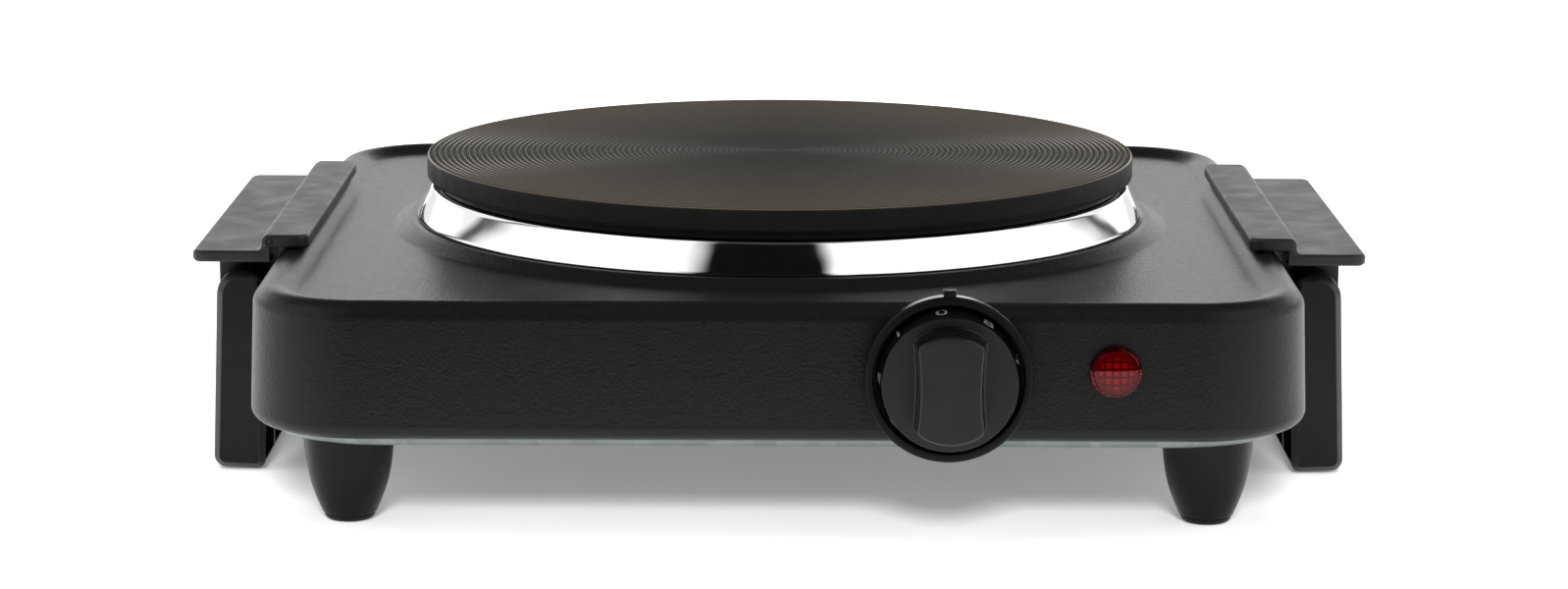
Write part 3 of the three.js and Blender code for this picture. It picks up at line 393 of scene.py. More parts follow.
def capped(rings):
    """The same with a flat face over the first and the last ring."""
    vertices, faces = skin(rings, False)
    count = len(rings[0])
    faces.append(list(range(count)))
    faces.append(list(range(len(vertices) - count, len(vertices))))
    return vertices, faces


def revolved(profile, segments, closed=True):
    """A profile of (radius, height) turned about the height's axis."""
    rings = []
    for radius, height in profile:
        if radius < 1e-9:
            rings.append([Vector((0, 0, height))])
            continue
        angles = [2 * pi * k / segments for k in range(segments)]
        rings.append([Vector((radius * cos(a), radius * sin(a), height)) for a in angles])
    return skin(rings, closed)


def at(x, y, z):
    return Matrix.Translation((x, y, z))


def modify(obj, kind, **settings):
    assign(obj.modifiers.new(kind.lower(), kind), **settings)


def mesh_of(name, vertices, faces):
    mesh = bpy.data.meshes.new(name)
    mesh.from_pydata(vertices, [], faces)
    return mesh


def placed(name, data):
    """An object in the scene with this mesh, text, light or camera."""
    obj = bpy.data.objects.new(name, data)
    scene.collection.objects.link(obj)
    return obj


def shape_of(bm):
    """A bmesh's vertices and faces; the bmesh itself is freed."""
    vertices = [v.co.copy() for v in bm.verts]
    faces = [[v.index for v in f.verts] for f in bm.faces]
    bm.free()
    return vertices, faces


def piece(name, shape, finish, *nodes, body="base", place=None, crease=30):
    """A named object from vertices and faces, riding on a body and standing for CAD nodes."""
    vertices, faces = shape
    finish = finishes.get(finish, finish)
    obj = placed(name, mesh_of(name, [place @ Vector(v) if place else Vector(v) for v in vertices], faces))
    obj.data.materials.append(finish.material)
    tidy(obj, crease)
    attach(obj, body)
    if nodes:
        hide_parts(*nodes)
    return obj


def tidy(obj, crease=30):
    """Faces turned outward, smooth but for edges sharper than crease."""
    bm = bmesh.new()
    bm.from_mesh(obj.data)
    bmesh.ops.recalc_face_normals(bm, faces=bm.faces)
    bm.to_mesh(obj.data)
    bm.free()
    obj.data.shade_smooth()
    obj.data.set_sharp_from_angle(angle=radians(crease))
    modify(obj, "WEIGHTED_NORMAL", keep_sharp=True)


def second_finish(obj, finish, chosen):
    """Gives the chosen faces another finish of the same slot."""
    obj.data.materials.append(finish.material)
    for polygon in obj.data.polygons:
        if chosen(polygon):
            polygon.material_index = len(obj.data.materials) - 1


def settle(obj):
    """Applies an object's modifiers."""
    graph = bpy.context.evaluated_depsgraph_get()
    mesh = bpy.data.meshes.new_from_object(obj.evaluated_get(graph))
    obj.modifiers.clear()
    obj.data = mesh


def shape_by(obj, operation, tools, crease=30):
    """Joins tools to obj or cuts them out of it."""
    helpers = []
    for tool in tools:
        helper = placed("tool", mesh_of("tool", *tool))
        tidy(helper)
        helpers.append(helper)
        modify(obj, "BOOLEAN", operation=operation, object=helper, solver="EXACT")
    settle(obj)
    for helper in helpers:
        bpy.data.objects.remove(helper)
    tidy(obj, crease)


def soften(obj, width, angle=40, segments=3):
    """Rounds the edges sharper than angle."""
    limit = radians(angle)
    modify(obj, "BEVEL", width=width, segments=segments, limit_method="ANGLE", angle_limit=limit)
    settle(obj)
    tidy(obj)


def upright(outline, z0, z1):
    """A prism on an outline in x and y."""
    return capped([[Vector((x, y, z)) for x, y in outline] for z in (z0, z1)])


def slab(x0, x1, y0, y1, z0, z1):
    """A box between these coordinates."""
    return upright([(x0, y0), (x1, y0), (x1, y1), (x0, y1)], z0, z1)


def across(points, y, sign=1):
    """A ring of points in x and z at this y, mirrored for sign -1."""
    return [Vector((sign * x, y, z)) for x, z in points]


def drum(radius, length, place, segments=48):
    """A cylinder that stands on place's origin along its Z."""
    vertices, faces = revolved([(0, 0), (radius, 0), (radius, length), (0, length)], segments, False)
    return [place @ v for v in vertices], faces


# ---- housing

CORNER_STEPS = 20
SIDE_STEPS = 24
ROUND_STEPS = 4 * (CORNER_STEPS + SIDE_STEPS)
FLAT_MARGIN = 2 * MM  # of flat panel beside the bead and the collar


def outline(inset, z, rounder=0):
    """The body's plan outline, stepped in by inset, at height z."""
    w, back, front, r = HALF_WIDTH - inset, BACK - inset, FRONT + inset, CORNER - inset + rounder
    middles = ((w - r, back - r), (r - w, back - r), (r - w, front + r), (w - r, front + r))
    corners = [turn(x, y, r, 90 * k, 90 * k + 90, CORNER_STEPS) for k, (x, y) in enumerate(middles)]
    points = []
    for k, corner in enumerate(corners):
        start, end = Vector(corner[-1]), Vector(corners[(k + 1) % 4][0])
        points += [Vector(p) for p in corner]
        points += [start.lerp(end, i / SIDE_STEPS) for i in range(1, SIDE_STEPS)]
    return [Vector((p.x, p.y, z)) for p in points]


def circle(radius, z):
    """A circle about the plate's axis with its points numbered as the outline's are."""
    ring = []
    for i in range(ROUND_STEPS):
        a = radians(45 + (i - CORNER_STEPS / 2) * 360 / ROUND_STEPS)
        ring.append(Vector((radius * cos(a), AXIS_Y + radius * sin(a), z)))
    return ring


def housing():
    """One sheet with a border bead, an embossed collar and a lip turned down round the opening."""
    crest_inset = DRAFT + UPPER_EDGE
    bead_inset = crest_inset + BEAD_FALL
    foot_radius = COLLAR_RADIUS + COLLAR_SLOPE
    walls = turn(LOWER_EDGE, BOTTOM_Z + LOWER_EDGE, LOWER_EDGE, 270, 180, 8)
    walls += turn(crest_inset, CREST_Z - UPPER_EDGE, UPPER_EDGE, 180, 90, 12)
    walls += [(crest_inset + BEAD_FALL * k / 12, CREST_Z - BEAD_HEIGHT * ease(k / 12)) for k in range(1, 13)]
    walls.append((bead_inset + FLAT_MARGIN, PANEL_Z))
    collar = [(foot_radius + FLAT_MARGIN, PANEL_Z)]
    for k in range(13):
        collar.append((foot_radius - COLLAR_SLOPE * k / 12, PANEL_Z + COLLAR_HEIGHT * ease(k / 12)))
    collar += turn(OPENING_RADIUS + LIP_RADIUS, COLLAR_Z - LIP_RADIUS, LIP_RADIUS, 90, 180, 6)
    collar += [
        (OPENING_RADIUS, COLLAR_Z - COLLAR_LIP),
        (OPENING_RADIUS + SHEET, COLLAR_Z - COLLAR_LIP),
        (OPENING_RADIUS + SHEET, COLLAR_Z - LIP_RADIUS),
        (OPENING_RADIUS + LIP_RADIUS, COLLAR_Z - SHEET),
        (COLLAR_RADIUS, COLLAR_Z - SHEET),
        (foot_radius, PANEL_Z - SHEET),
    ]
    inside = [(bead_inset, PANEL_Z - SHEET), (crest_inset, CREST_Z - SHEET)]
    inside += turn(crest_inset, CREST_Z - UPPER_EDGE, UPPER_EDGE - SHEET, 90, 180, 6)[1:]
    inside += [(SHEET, BOTTOM_Z + LOWER_EDGE), (LOWER_EDGE, BOTTOM_Z + SHEET)]
    rings = [outline(*point) for point in walls] + [circle(*point) for point in collar]
    rings += [outline(*point) for point in inside]
    piece("housing_skin", skin(rings, True), "black_powder_coat", "housing", crease=60)


# ---- cooking plate and trim ring

GROOVE_PITCH = 1.5 * MM
GROOVE_LAND = 0.95 * MM
GROOVE_SLOPE = 0.15 * MM
GROOVE_DEPTH = 0.28 * MM
GROOVE_FULL = 55 * MM  # the radius from which the grooves are that deep
GROOVE_FIRST = 2.5 * MM  # where the innermost one's land begins
GROOVE_SHALLOW = 0.25  # share of the depth that remains towards the centre
DIMPLE_DEPTH = 0.15 * MM  # of the hollow at the centre
DIMPLE_FLOOR = 1.2 * MM
DIMPLE_RADIUS = 1.7 * MM
PLATE_EDGE = 0.7 * MM
PLATE_UNDERSIDE = 3 * MM  # above the lowest point of the CAD's plate
UNDERSIDE_MARGIN = 4 * MM
PLATE_SEGMENTS = 256
RING_BULGE = 0.10 * MM
RING_TOP = 2.2 * MM  # how far the flare begins outside the plate's neck
RING_BEND = 0.3 * MM
RING_INSET = 0.1 * MM


def cooking_plate():
    """A disc with turned grooves from its centre to just inside its rim."""
    top = PLATE_Z
    rim_z = top - RIM_HEIGHT
    underside = plate_low.z + PLATE_UNDERSIDE
    grooves = [(0, top - DIMPLE_DEPTH), (DIMPLE_FLOOR, top - DIMPLE_DEPTH), (DIMPLE_RADIUS, top)]
    count = int((PLATE_RADIUS - 2 * PLATE_EDGE - GROOVE_FIRST) / GROOVE_PITCH)
    for k in range(count):
        r = GROOVE_FIRST + k * GROOVE_PITCH
        down, up = r + GROOVE_LAND + GROOVE_SLOPE, r + GROOVE_PITCH - GROOVE_SLOPE
        share = GROOVE_SHALLOW + (1 - GROOVE_SHALLOW) * ease(min(1, r / GROOVE_FULL))
        floor_z = top - GROOVE_DEPTH * share
        grooves += [(r, top), (r + GROOVE_LAND, top), (down, floor_z), (up, floor_z)]
    profile = grooves + [(GROOVE_FIRST + count * GROOVE_PITCH, top)]
    profile += turn(PLATE_RADIUS - PLATE_EDGE, top - PLATE_EDGE, PLATE_EDGE, 90, 0, 4)
    profile += turn(PLATE_RADIUS - PLATE_EDGE, rim_z + PLATE_EDGE, PLATE_EDGE, 0, -90, 4)
    profile += [
        (NECK_RADIUS, rim_z),
        (NECK_RADIUS, rim_z - NECK_HEIGHT),
        (SKIRT_RADIUS, rim_z - NECK_HEIGHT),
        (SKIRT_RADIUS, underside),
        (SKIRT_RADIUS - UNDERSIDE_MARGIN, underside),
        (0, underside),
    ]
    place = at(0, AXIS_Y, 0)
    shape = revolved(profile, PLATE_SEGMENTS, False)
    disc = piece("plate_disc", shape, "cast_iron", "hot_plate", place=place, crease=8)
    lowest = top - GROOVE_DEPTH
    second_finish(disc, flank, lambda face: face.normal.z < 0.6)
    # the sloped faces near the top, the groove walls and the rim's edge, take the painted sheen
    second_finish(disc, bright, lambda face: 0.3 < face.normal.z < 0.97 and face.center.z > lowest)


def trim_ring():
    """A slightly rounded conical skirt of mirror-polished sheet."""
    top, foot = ring_high.z, ring_low.z
    top_radius = NECK_RADIUS + RING_TOP
    foot_radius = RING_RADIUS - RING_INSET
    start, end = Vector((top_radius, top - RING_BEND)), Vector((foot_radius, foot + RING_BEND))
    outer = []
    for k in range(13):
        p = start.lerp(end, k / 12) + Vector((RING_BULGE * sin(pi * k / 12), 0))
        outer.append((p.x, p.y))
    outer.append((foot_radius, foot))
    inner = [(r - RING_SHEET, max(z - RING_BEND, foot)) for r, z in reversed(outer)]
    profile = [(SKIRT_RADIUS + CLEARANCE, top - RING_SHEET), (SKIRT_RADIUS + CLEARANCE, top)]
    profile += [(top_radius - RING_BEND, top)] + outer + inner
    place = at(0, AXIS_Y, 0)
    shape = revolved(profile, PLATE_SEGMENTS)
    piece("trim_skirt", shape, "polished_steel", "trim_ring", place=place)


# ---- knob and bezel

BEZEL_OPENING = 17.6 * MM
BEZEL_BORE = 8 * MM
BEZEL_FLOOR = 1.5 * MM
BEZEL_ROUND = 0.9 * MM
OPENING_ROUND = 0.4 * MM
INDEX_WIDTH = 3 * MM
INDEX_DEPTH = 3.6 * MM
INDEX_GAP = 1 * MM  # between the opening and the index
INDEX_ROUND = 0.35 * MM
DIGIT_HEIGHT = 3.8 * MM
FONT_SHARE = 1.45  # the font's size for figures of height 1
INK_DEPTH = 0.02 * MM
INK_LIFT = 0.03 * MM
DIGIT_WIDTH = 1.15  # the figures are this much wider than the font's
DIAL_STEP = 40  # degrees between two figures
DIAL_OFFSET = -7  # degrees from the top to the first figure
DIAL_FIGURES = 9
GRIP_HALF_HEIGHT = 12.8 * MM
GRIP_END = 15.5 * MM
GRIP_WAIST = 14.1 * MM
GRIP_REACH = 7.4 * MM
GRIP_DRAFT = 0.5 * MM
GRIP_FILLET = 0.8 * MM
GRIP_EDGE = 0.5 * MM
GRIP_ROOT = 1 * MM  # how deep the grip stands in the cap
GRIP_STEPS = 20  # along half a side, and along an end
GRIP_SMOOTHING = 5
CAP_WALL = 1.6 * MM
CAP_THICKNESS = 2 * MM
CAP_FLAT = 0.97  # a face that looks forward more than this keeps the cap's finish
SKIRT_BACK = 16.9 * MM
FACE_RADIUS = 15.9 * MM
FACE_EDGE = 0.3 * MM


def bezel():
    outer = bezel_high.x - KNOB_X
    depth = bezel_high.y - bezel_low.y
    profile = [(BEZEL_BORE, 0), (outer - BEZEL_ROUND / 2, 0)]
    profile += turn(outer - BEZEL_ROUND, depth - BEZEL_ROUND, BEZEL_ROUND, 0, 90, 6)
    profile += turn(BEZEL_OPENING + OPENING_ROUND, depth - OPENING_ROUND, OPENING_ROUND, 90, 180, 4)
    profile += [(BEZEL_OPENING, BEZEL_FLOOR), (BEZEL_BORE, BEZEL_FLOOR)]
    place = at(KNOB_X, bezel_high.y, KNOB_Z) @ BACKWARD
    ring = piece("bezel_ring", revolved(profile, 160), surround, "knob_bezel", place=place)
    # the sides are painted lighter than the front: a painted highlight, meant for the lit top of the bezel
    second_finish(ring, satin_and_highlight, lambda face: abs(face.normal.y) < 0.3)
    half = INDEX_WIDTH / 2
    front = bezel_low.y + BEZEL_ROUND
    foot = KNOB_Z + BEZEL_OPENING + INDEX_GAP
    shape = slab(KNOB_X - half, KNOB_X + half, front, front + INDEX_DEPTH, foot, bezel_high.z)
    # the index is painted lighter than the bezel's front: a painted highlight
    soften(piece("bezel_index", shape, satin_and_highlight), INDEX_ROUND)


def grip_outline(offset, count=160):
    """The grip's outline in x and z: ends on a circle, sides drawn in to a waist, corners rounded."""
    end_radius = GRIP_HALF_HEIGHT + offset
    end_half = GRIP_END / 2 + offset
    waist_half = GRIP_WAIST / 2 + offset
    corner = sqrt(end_radius**2 - end_half**2)
    reach = degrees(asin(end_half / end_radius))
    side = []
    for k in range(-GRIP_STEPS, GRIP_STEPS + 1):
        t = k / GRIP_STEPS
        side.append((waist_half + (end_half - waist_half) * t * t, corner * t))
    rough = side + turn(0, 0, end_radius, 90 - reach, 90 + reach, GRIP_STEPS)[1:-1]
    rough += [(-x, -z) for x, z in side]
    rough += turn(0, 0, end_radius, 270 - reach, 270 + reach, GRIP_STEPS)[1:-1]
    even = evenly([Vector(p) for p in rough], count)
    for _ in range(GRIP_SMOOTHING):
        even = [(even[k - 1] + even[k] * 2 + even[(k + 1) % count]) / 4 for k in range(count)]
    return even


def evenly(points, count):
    """A closed outline's points at equal steps along it."""
    loop = points + [points[0]]
    lengths = [0.0]
    for a, b in zip(loop, loop[1:]):
        lengths.append(lengths[-1] + (b - a).length)
    made, k = [], 0
    for i in range(count):
        target = lengths[-1] * i / count
        while lengths[k + 1] < target:
            k += 1
        t = (target - lengths[k]) / (lengths[k + 1] - lengths[k])
        made.append(loop[k].lerp(loop[k + 1], t))
    return made


def knob():
    back = knob_high.y
    front = knob_low.y
    face = front + GRIP_REACH
    depth = back - face
    inside = depth - CAP_THICKNESS
    profile = [(0, depth)]
    profile += turn(FACE_RADIUS - FACE_EDGE, depth - FACE_EDGE, FACE_EDGE, 90, 5, 5)
    profile += [(SKIRT_BACK, 0), (SKIRT_BACK - CAP_WALL, 0), (FACE_RADIUS - CAP_WALL, inside), (0, inside)]
    place = at(KNOB_X, back, KNOB_Z) @ BACKWARD
    shape = revolved(profile, 160, False)
    cap = piece("knob_cap", shape, "knob_moulding", "knob", body="knob", place=place)
    levels = [(face + GRIP_ROOT, GRIP_DRAFT + GRIP_FILLET)]
    for k in range(7):
        a = pi / 2 * k / 6
        levels.append((face - GRIP_FILLET * (1 - cos(a)), GRIP_DRAFT + GRIP_FILLET * (1 - sin(a))))
    for k in range(6):
        a = pi / 2 * k / 5
        levels.append((front + GRIP_EDGE * (1 - sin(a)), GRIP_EDGE * (cos(a) - 1)))
    rings = []
    for y, offset in levels:
        rings.append([Vector((KNOB_X + p.x, y, KNOB_Z + p.y)) for p in grip_outline(offset)])
    shape_by(cap, "UNION", [capped(rings)], crease=8)
    second_finish(cap, gloss, lambda face: abs(face.normal.y) < CAP_FLAT)
    near = front + GRIP_EDGE
    second_finish(cap, satin_and_highlight, lambda face: face.center.y < near and abs(face.normal.y) < CAP_FLAT)
    for digit in range(DIAL_FIGURES):
        dial_figure(digit, back, depth)


def dial_figure(digit, back, depth):
    """A figure printed on the skirt, its foot towards the face."""
    text = assign(
        bpy.data.curves.new("figure", "FONT"), body=str(digit), size=DIGIT_HEIGHT * FONT_SHARE,
        align_x="CENTER", align_y="CENTER", extrude=INK_DEPTH, resolution_u=3,
    )
    holder = placed("figure", text)
    graph = bpy.context.evaluated_depsgraph_get()
    flat = bpy.data.meshes.new_from_object(holder.evaluated_get(graph))
    bpy.data.objects.remove(holder)
    bm = bmesh.new()
    bm.from_mesh(flat)
    bmesh.ops.triangulate(bm, faces=bm.faces)
    bmesh.ops.subdivide_edges(bm, edges=bm.edges, cuts=2, use_grid_fill=True)
    bmesh.ops.remove_doubles(bm, verts=bm.verts, dist=1e-7)
    middle = radians(DIAL_OFFSET - DIAL_STEP * digit)
    slope = (SKIRT_BACK - FACE_RADIUS) / depth
    for v in bm.verts:
        along = depth / 2 - v.co.y  # from the skirt's back towards the face
        radius = SKIRT_BACK - slope * along + v.co.z + INK_LIFT
        angle = middle + v.co.x * DIGIT_WIDTH / radius
        v.co = (KNOB_X + radius * sin(angle), back - along, KNOB_Z + radius * cos(angle))
    piece(f"dial_figure_{digit}", shape_of(bm), ink, body="knob")


# ---- pilot lamp

LENS_RIM = 6.1 * MM
LENS_FACE = 5.3 * MM
LENS_DOME = 0.35 * MM
LENS_WALL = 0.6 * MM
RIM_ROUND = 0.4 * MM
RIM_STEP = 0.7 * MM  # height of the lens's rim at the panel
RIM_INSET = 0.35 * MM
CAVITY_STEP = (0.2 * MM, 0.3 * MM)  # inward and down, from the rim's step to the cavity's
DOME_INSIDE = 0.97  # the cap's inner radius as a share of its outer one
JEWEL_RADIUS = 5 * MM
JEWEL_CUT = 6 * MM  # length of the cut that makes the grid round
JEWEL_BACK = 0.5 * MM  # thickness behind the facets' base, and the room in front of it
FACETS = 7  # that the grid has each way before it is cut round
FACET_HEIGHTS = (0, 0.40, 0.08, 0.40)  # millimetres across one facet: groove, ridge, dimple, ridge


def pilot_lamp():
    """A clear red cap over a disc of square facets."""
    wall_y = FRONT - CLEARANCE
    reach = wall_y - lens_low.y
    inner = LENS_RIM - LENS_WALL
    dome = [(LENS_FACE * k / 8, reach - LENS_DOME * (k / 8) ** 2) for k in range(9)]
    profile = dome + [(LENS_RIM - RIM_INSET, RIM_STEP)]
    profile += turn(LENS_RIM - RIM_ROUND, RIM_ROUND, RIM_ROUND, 40, 0, 3)
    profile += [(LENS_RIM, 0), (inner, 0), (inner - CAVITY_STEP[0], RIM_STEP - CAVITY_STEP[1])]
    profile += [(r * DOME_INSIDE, y - LENS_WALL) for r, y in reversed(dome)]
    place = at(LENS_X, wall_y, LENS_Z) @ BACKWARD
    piece("pilot_cap", revolved(profile, 96, False), "red_lens", "pilot_lens", place=place)
    cells = len(FACET_HEIGHTS)
    steps = cells * FACETS
    middle = (steps + cells) / 2
    pitch = FACET_PITCH / cells
    front = wall_y - reach + LENS_DOME + LENS_WALL + JEWEL_BACK
    vertices, faces = [], []
    for i in range(steps + 1):
        for k in range(steps + 1):
            px, pz = (i - middle) * pitch, (k - middle) * pitch
            inside = hypot(px, pz) < FACET_FIELD
            high = min(FACET_HEIGHTS[i % cells], FACET_HEIGHTS[k % cells]) * MM if inside else 0
            vertices.append(Vector((LENS_X + px, front - high, LENS_Z + pz)))
    for i in range(steps):
        for k in range(steps):
            a = i * (steps + 1) + k
            faces.append((a, a + 1, a + steps + 2, a + steps + 1))
    bm = bmesh.new()
    bm.from_mesh(mesh_of("facets", vertices, faces))
    made = bmesh.ops.extrude_face_region(bm, geom=bm.faces)
    for item in made["geom"]:
        if isinstance(item, bmesh.types.BMVert):
            item.co.y = front + JEWEL_BACK
    bmesh.ops.triangulate(bm, faces=bm.faces)
    insert = piece("pilot_jewel", shape_of(bm), jewel, crease=5)
    tube = drum(JEWEL_RADIUS, JEWEL_CUT, at(LENS_X, front + JEWEL_CUT / 2, LENS_Z) @ BACKWARD)
    shape_by(insert, "INTERSECT", [tube], crease=5)


# ---- brackets and handles

STRIP_WIDTH = 11.9 * MM
STRIP_THICKNESS = 3.2 * MM
RISER = 2.4 * MM
LEDGE_THICKNESS = 2.9 * MM
LEDGE_DROP = 4 * MM
PLAN_CORNER = 3 * MM
RISER_SHARE = 0.25  # of the plan corner, at the riser
BRACKET_EDGE = 1 * MM
STEP_EDGE = 1.8 * MM  # rounding of the step's upper edge
BRACKET_FILLET = 1.4 * MM
BRACKET_END = 0.7 * MM  # rounding of both ends
STRIP_ROUND = 0.5 * MM
ROUND_LOSS = 0.5  # share of the inset that the roundings lose
CORNER_STATIONS = (0.3, 0.4, 0.5, 0.65, 0.8, 1)  # shares of the plan corner
PIN_EYE = 0.95 * MM  # round recess in the step's end
PIN_END = 0.62 * MM  # the pin end inside it
PIN_INSET = 2.3 * MM
PIN_SUNK = 0.4 * MM
PIN_SHORT = 0.06 * MM  # how far the pin end stays behind the step's end
QUARTER = (0, 0.4, 0.8, 1.2, pi / 2)  # angles of a small rounding


def pulled_in(distance, radius):
    """How far a rounded corner stands in, this far from the end."""
    if distance >= radius:
        return 0.0
    return radius - sqrt(radius**2 - (radius - distance) ** 2)


def bracket(side, sign):
    """A stepped moulding over a side edge, with two hinge lugs and a pin end in one end of its step."""
    low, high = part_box(f"bracket_{side}")
    outer = max(abs(low.x), abs(high.x))
    inner = outer - (high.x - low.x)
    riser_outer = inner + STRIP_WIDTH
    riser_inner = riser_outer - RISER
    top = high.z
    ledge_top = top - LEDGE_DROP
    ledge_bottom = ledge_top - LEDGE_THICKNESS
    strip_bottom = top - STRIP_THICKNESS

    def section(distance, inset):
        corner = pulled_in(distance, PLAN_CORNER)
        edge = BRACKET_EDGE - inset * ROUND_LOSS
        x0 = inner + corner + inset
        x1 = riser_outer - corner * RISER_SHARE - inset
        x2 = outer - corner - inset
        zt, zl = top - inset, ledge_top - inset
        points = turn(x0 + STRIP_ROUND, strip_bottom + inset + STRIP_ROUND, STRIP_ROUND, 270, 180, 3)
        points += turn(x0 + edge, zt - edge, edge, 180, 90, 5)
        knuckle = STEP_EDGE - inset * ROUND_LOSS
        points += turn(x1 - knuckle, zt - knuckle, knuckle, 90, 0, 5)
        points += turn(x1 + BRACKET_FILLET, zl + BRACKET_FILLET, BRACKET_FILLET, 180, 270, 5)
        points += turn(x2 - edge, zl - edge, edge, 90, 0, 5)
        points += turn(x2 - edge, ledge_bottom + inset + edge, edge, 0, -90, 5)
        points += [(riser_inner + inset, ledge_bottom + inset), (riser_inner + inset, strip_bottom + inset)]
        return points

    length = high.y - low.y
    stations = [(BRACKET_END * (1 - cos(a)), BRACKET_END * (1 - sin(a))) for a in QUARTER]
    stations += [(PLAN_CORNER * t, 0) for t in CORNER_STATIONS]
    stations.append((length / 4, 0))
    rings = [across(section(*station), low.y + station[0], sign) for station in stations]
    rings += [across(section(*station), high.y - station[0], sign) for station in reversed(stations)]
    name = f"bracket_{side}"
    obj = piece(f"{name}_moulding", capped(rings), "bracket_moulding", name)
    shape_by(obj, "UNION", [lug(sign, riser_inner, ledge_bottom, end) for end in (-1, 1)])
    end_y = low.y if sign < 0 else high.y
    turned = Matrix.Rotation(pi, 4, "Z") if sign > 0 else Matrix.Identity(4)

    def before_end(distance):
        middle = (sign * (riser_outer - PIN_INSET), end_y + sign * distance, top - STRIP_THICKNESS / 2)
        return Matrix.Translation(middle) @ turned @ FORWARD

    shape_by(obj, "DIFFERENCE", [drum(PIN_EYE, 2 * PIN_SUNK, before_end(PIN_SUNK), 24)])
    shape_by(obj, "UNION", [drum(PIN_END, 2 * PIN_SUNK, before_end(-PIN_SHORT), 24)])


LUG_THICKNESS = 5.7 * MM
LUG_WIDTH = 14.4 * MM
LUG_MIDDLE = 43.85 * MM
LUG_ROOT = 1 * MM


def lug(sign, riser_inner, ledge_bottom, end):
    """A hinge lug under the ledge, round at its foot."""
    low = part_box("bracket_right")[0]
    pivot_z = low.z + LUG_WIDTH / 2
    r = LUG_WIDTH / 2
    points = [(riser_inner, ledge_bottom + LUG_ROOT)]
    points += turn(riser_inner + r, pivot_z, r, 180, 360, 24)
    points += [(riser_inner + 2 * r, ledge_bottom + LUG_ROOT)]
    middle = AXIS_Y + end * LUG_MIDDLE
    return capped([across(points, middle + half, sign) for half in (-LUG_THICKNESS / 2, LUG_THICKNESS / 2)])


ARM_WIDTH = 12.9 * MM
ARM_DEPTH = 11 * MM
HANDLE_DROP = 44.4 * MM
HANDLE_LEAN = 2.1  # degrees
GRIP_HEIGHT = 16 * MM
CHANNEL_WALL = 2 * MM
RIBS = 5
RIB = 1.6 * MM
BAIL_CORNER = 3 * MM  # at the foot, away from the housing
CHANNEL_CORNER = 2 * MM  # at the foot, towards the housing
WINDOW_CORNER = 4 * MM
HANDLE_ROUND = 0.5 * MM
CORNER_LOSS = 0.9  # share of the inset that the foot's corners lose
ARM_EDGE = ((1.75, 0), (1.6, 0.08), (1.42, 0.2), (0.2, 1.5), (0.08, 1.65), (0, 1.8))  # inset and way in, mm


def handle(side, sign):
    """A bail with half-round arm tops and an open channel towards the housing, drawn about its pivot."""
    low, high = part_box(f"handle_{side}")
    pin_x, _, pin_z = centre(*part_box(f"hinge_pin_{side}_front"))
    pivot = Vector((pin_x, AXIS_Y, pin_z))
    half = (high.y - low.y) / 2
    r = ARM_WIDTH / 2
    bottom = -HANDLE_DROP

    def section(inset):
        outer, inner = BAIL_CORNER, CHANNEL_CORNER
        points = turn(0, 0, r - inset, 0, 180, 32)
        points += turn(inner - r, bottom + inner, inner - inset * CORNER_LOSS, 180, 270, 6)
        points += turn(r - outer, bottom + outer, outer - inset * CORNER_LOSS, 270, 360, 8)
        return points

    stations = [(half - way * MM, inset * MM) for inset, way in ARM_EDGE]
    rings = [across(section(inset), -y) for y, inset in stations]
    rings += [across(section(inset), y) for y, inset in reversed(stations)]
    name = f"handle_{side}"
    obj = piece(f"{name}_bail", capped(rings), "handle_moulding", name, body=name)
    inner_y = half - ARM_DEPTH
    grip_top = bottom + GRIP_HEIGHT
    window = []
    for cy, start in ((inner_y - WINDOW_CORNER, 270), (WINDOW_CORNER - inner_y, 180)):
        window += turn(cy, grip_top + WINDOW_CORNER, WINDOW_CORNER, start + 90, start, 8)
    window += [(-inner_y, 2 * HANDLE_DROP), (inner_y, 2 * HANDLE_DROP)]
    tools = [capped([[Vector((x, y, z)) for y, z in window] for x in (-2 * r, 2 * r)])]
    pocket_x = r - CHANNEL_WALL
    low_z = bottom + CHANNEL_WALL
    for end in (-1, 1):
        a, b = sorted((end * (inner_y + CHANNEL_WALL), end * (half - CHANNEL_WALL)))
        tools.append(slab(-2 * r, pocket_x, a, b, grip_top - CHANNEL_WALL - THROUGH, -r - CHANNEL_WALL))
    reach = half - CHANNEL_WALL
    bay = (2 * reach - RIBS * RIB) / (RIBS + 1)
    for k in range(RIBS + 1):
        y0 = -reach + k * (bay + RIB)
        tools.append(slab(-2 * r, pocket_x, y0, y0 + bay, low_z, grip_top - CHANNEL_WALL))
    shape_by(obj, "DIFFERENCE", tools)
    soften(obj, HANDLE_ROUND, 45, 2)
    lean = Matrix.Rotation(radians(-HANDLE_LEAN), 4, "Y")
    flip = Matrix.Scale(sign, 4, (1, 0, 0))
    obj.data.transform(Matrix.Translation(pivot) @ flip @ lean)
    tidy(obj)
    chamfer = half - ARM_EDGE[-1][1] * MM

    def worn(face):
        return abs(face.center.y - AXIS_Y) > chamfer and 0.3 < abs(face.normal.y) < 0.95

    # the chamfer bands take the lighter finish: a painted highlight
    second_finish(obj, painted_edge_highlight, worn)


# ---- feet, base and rear fittings

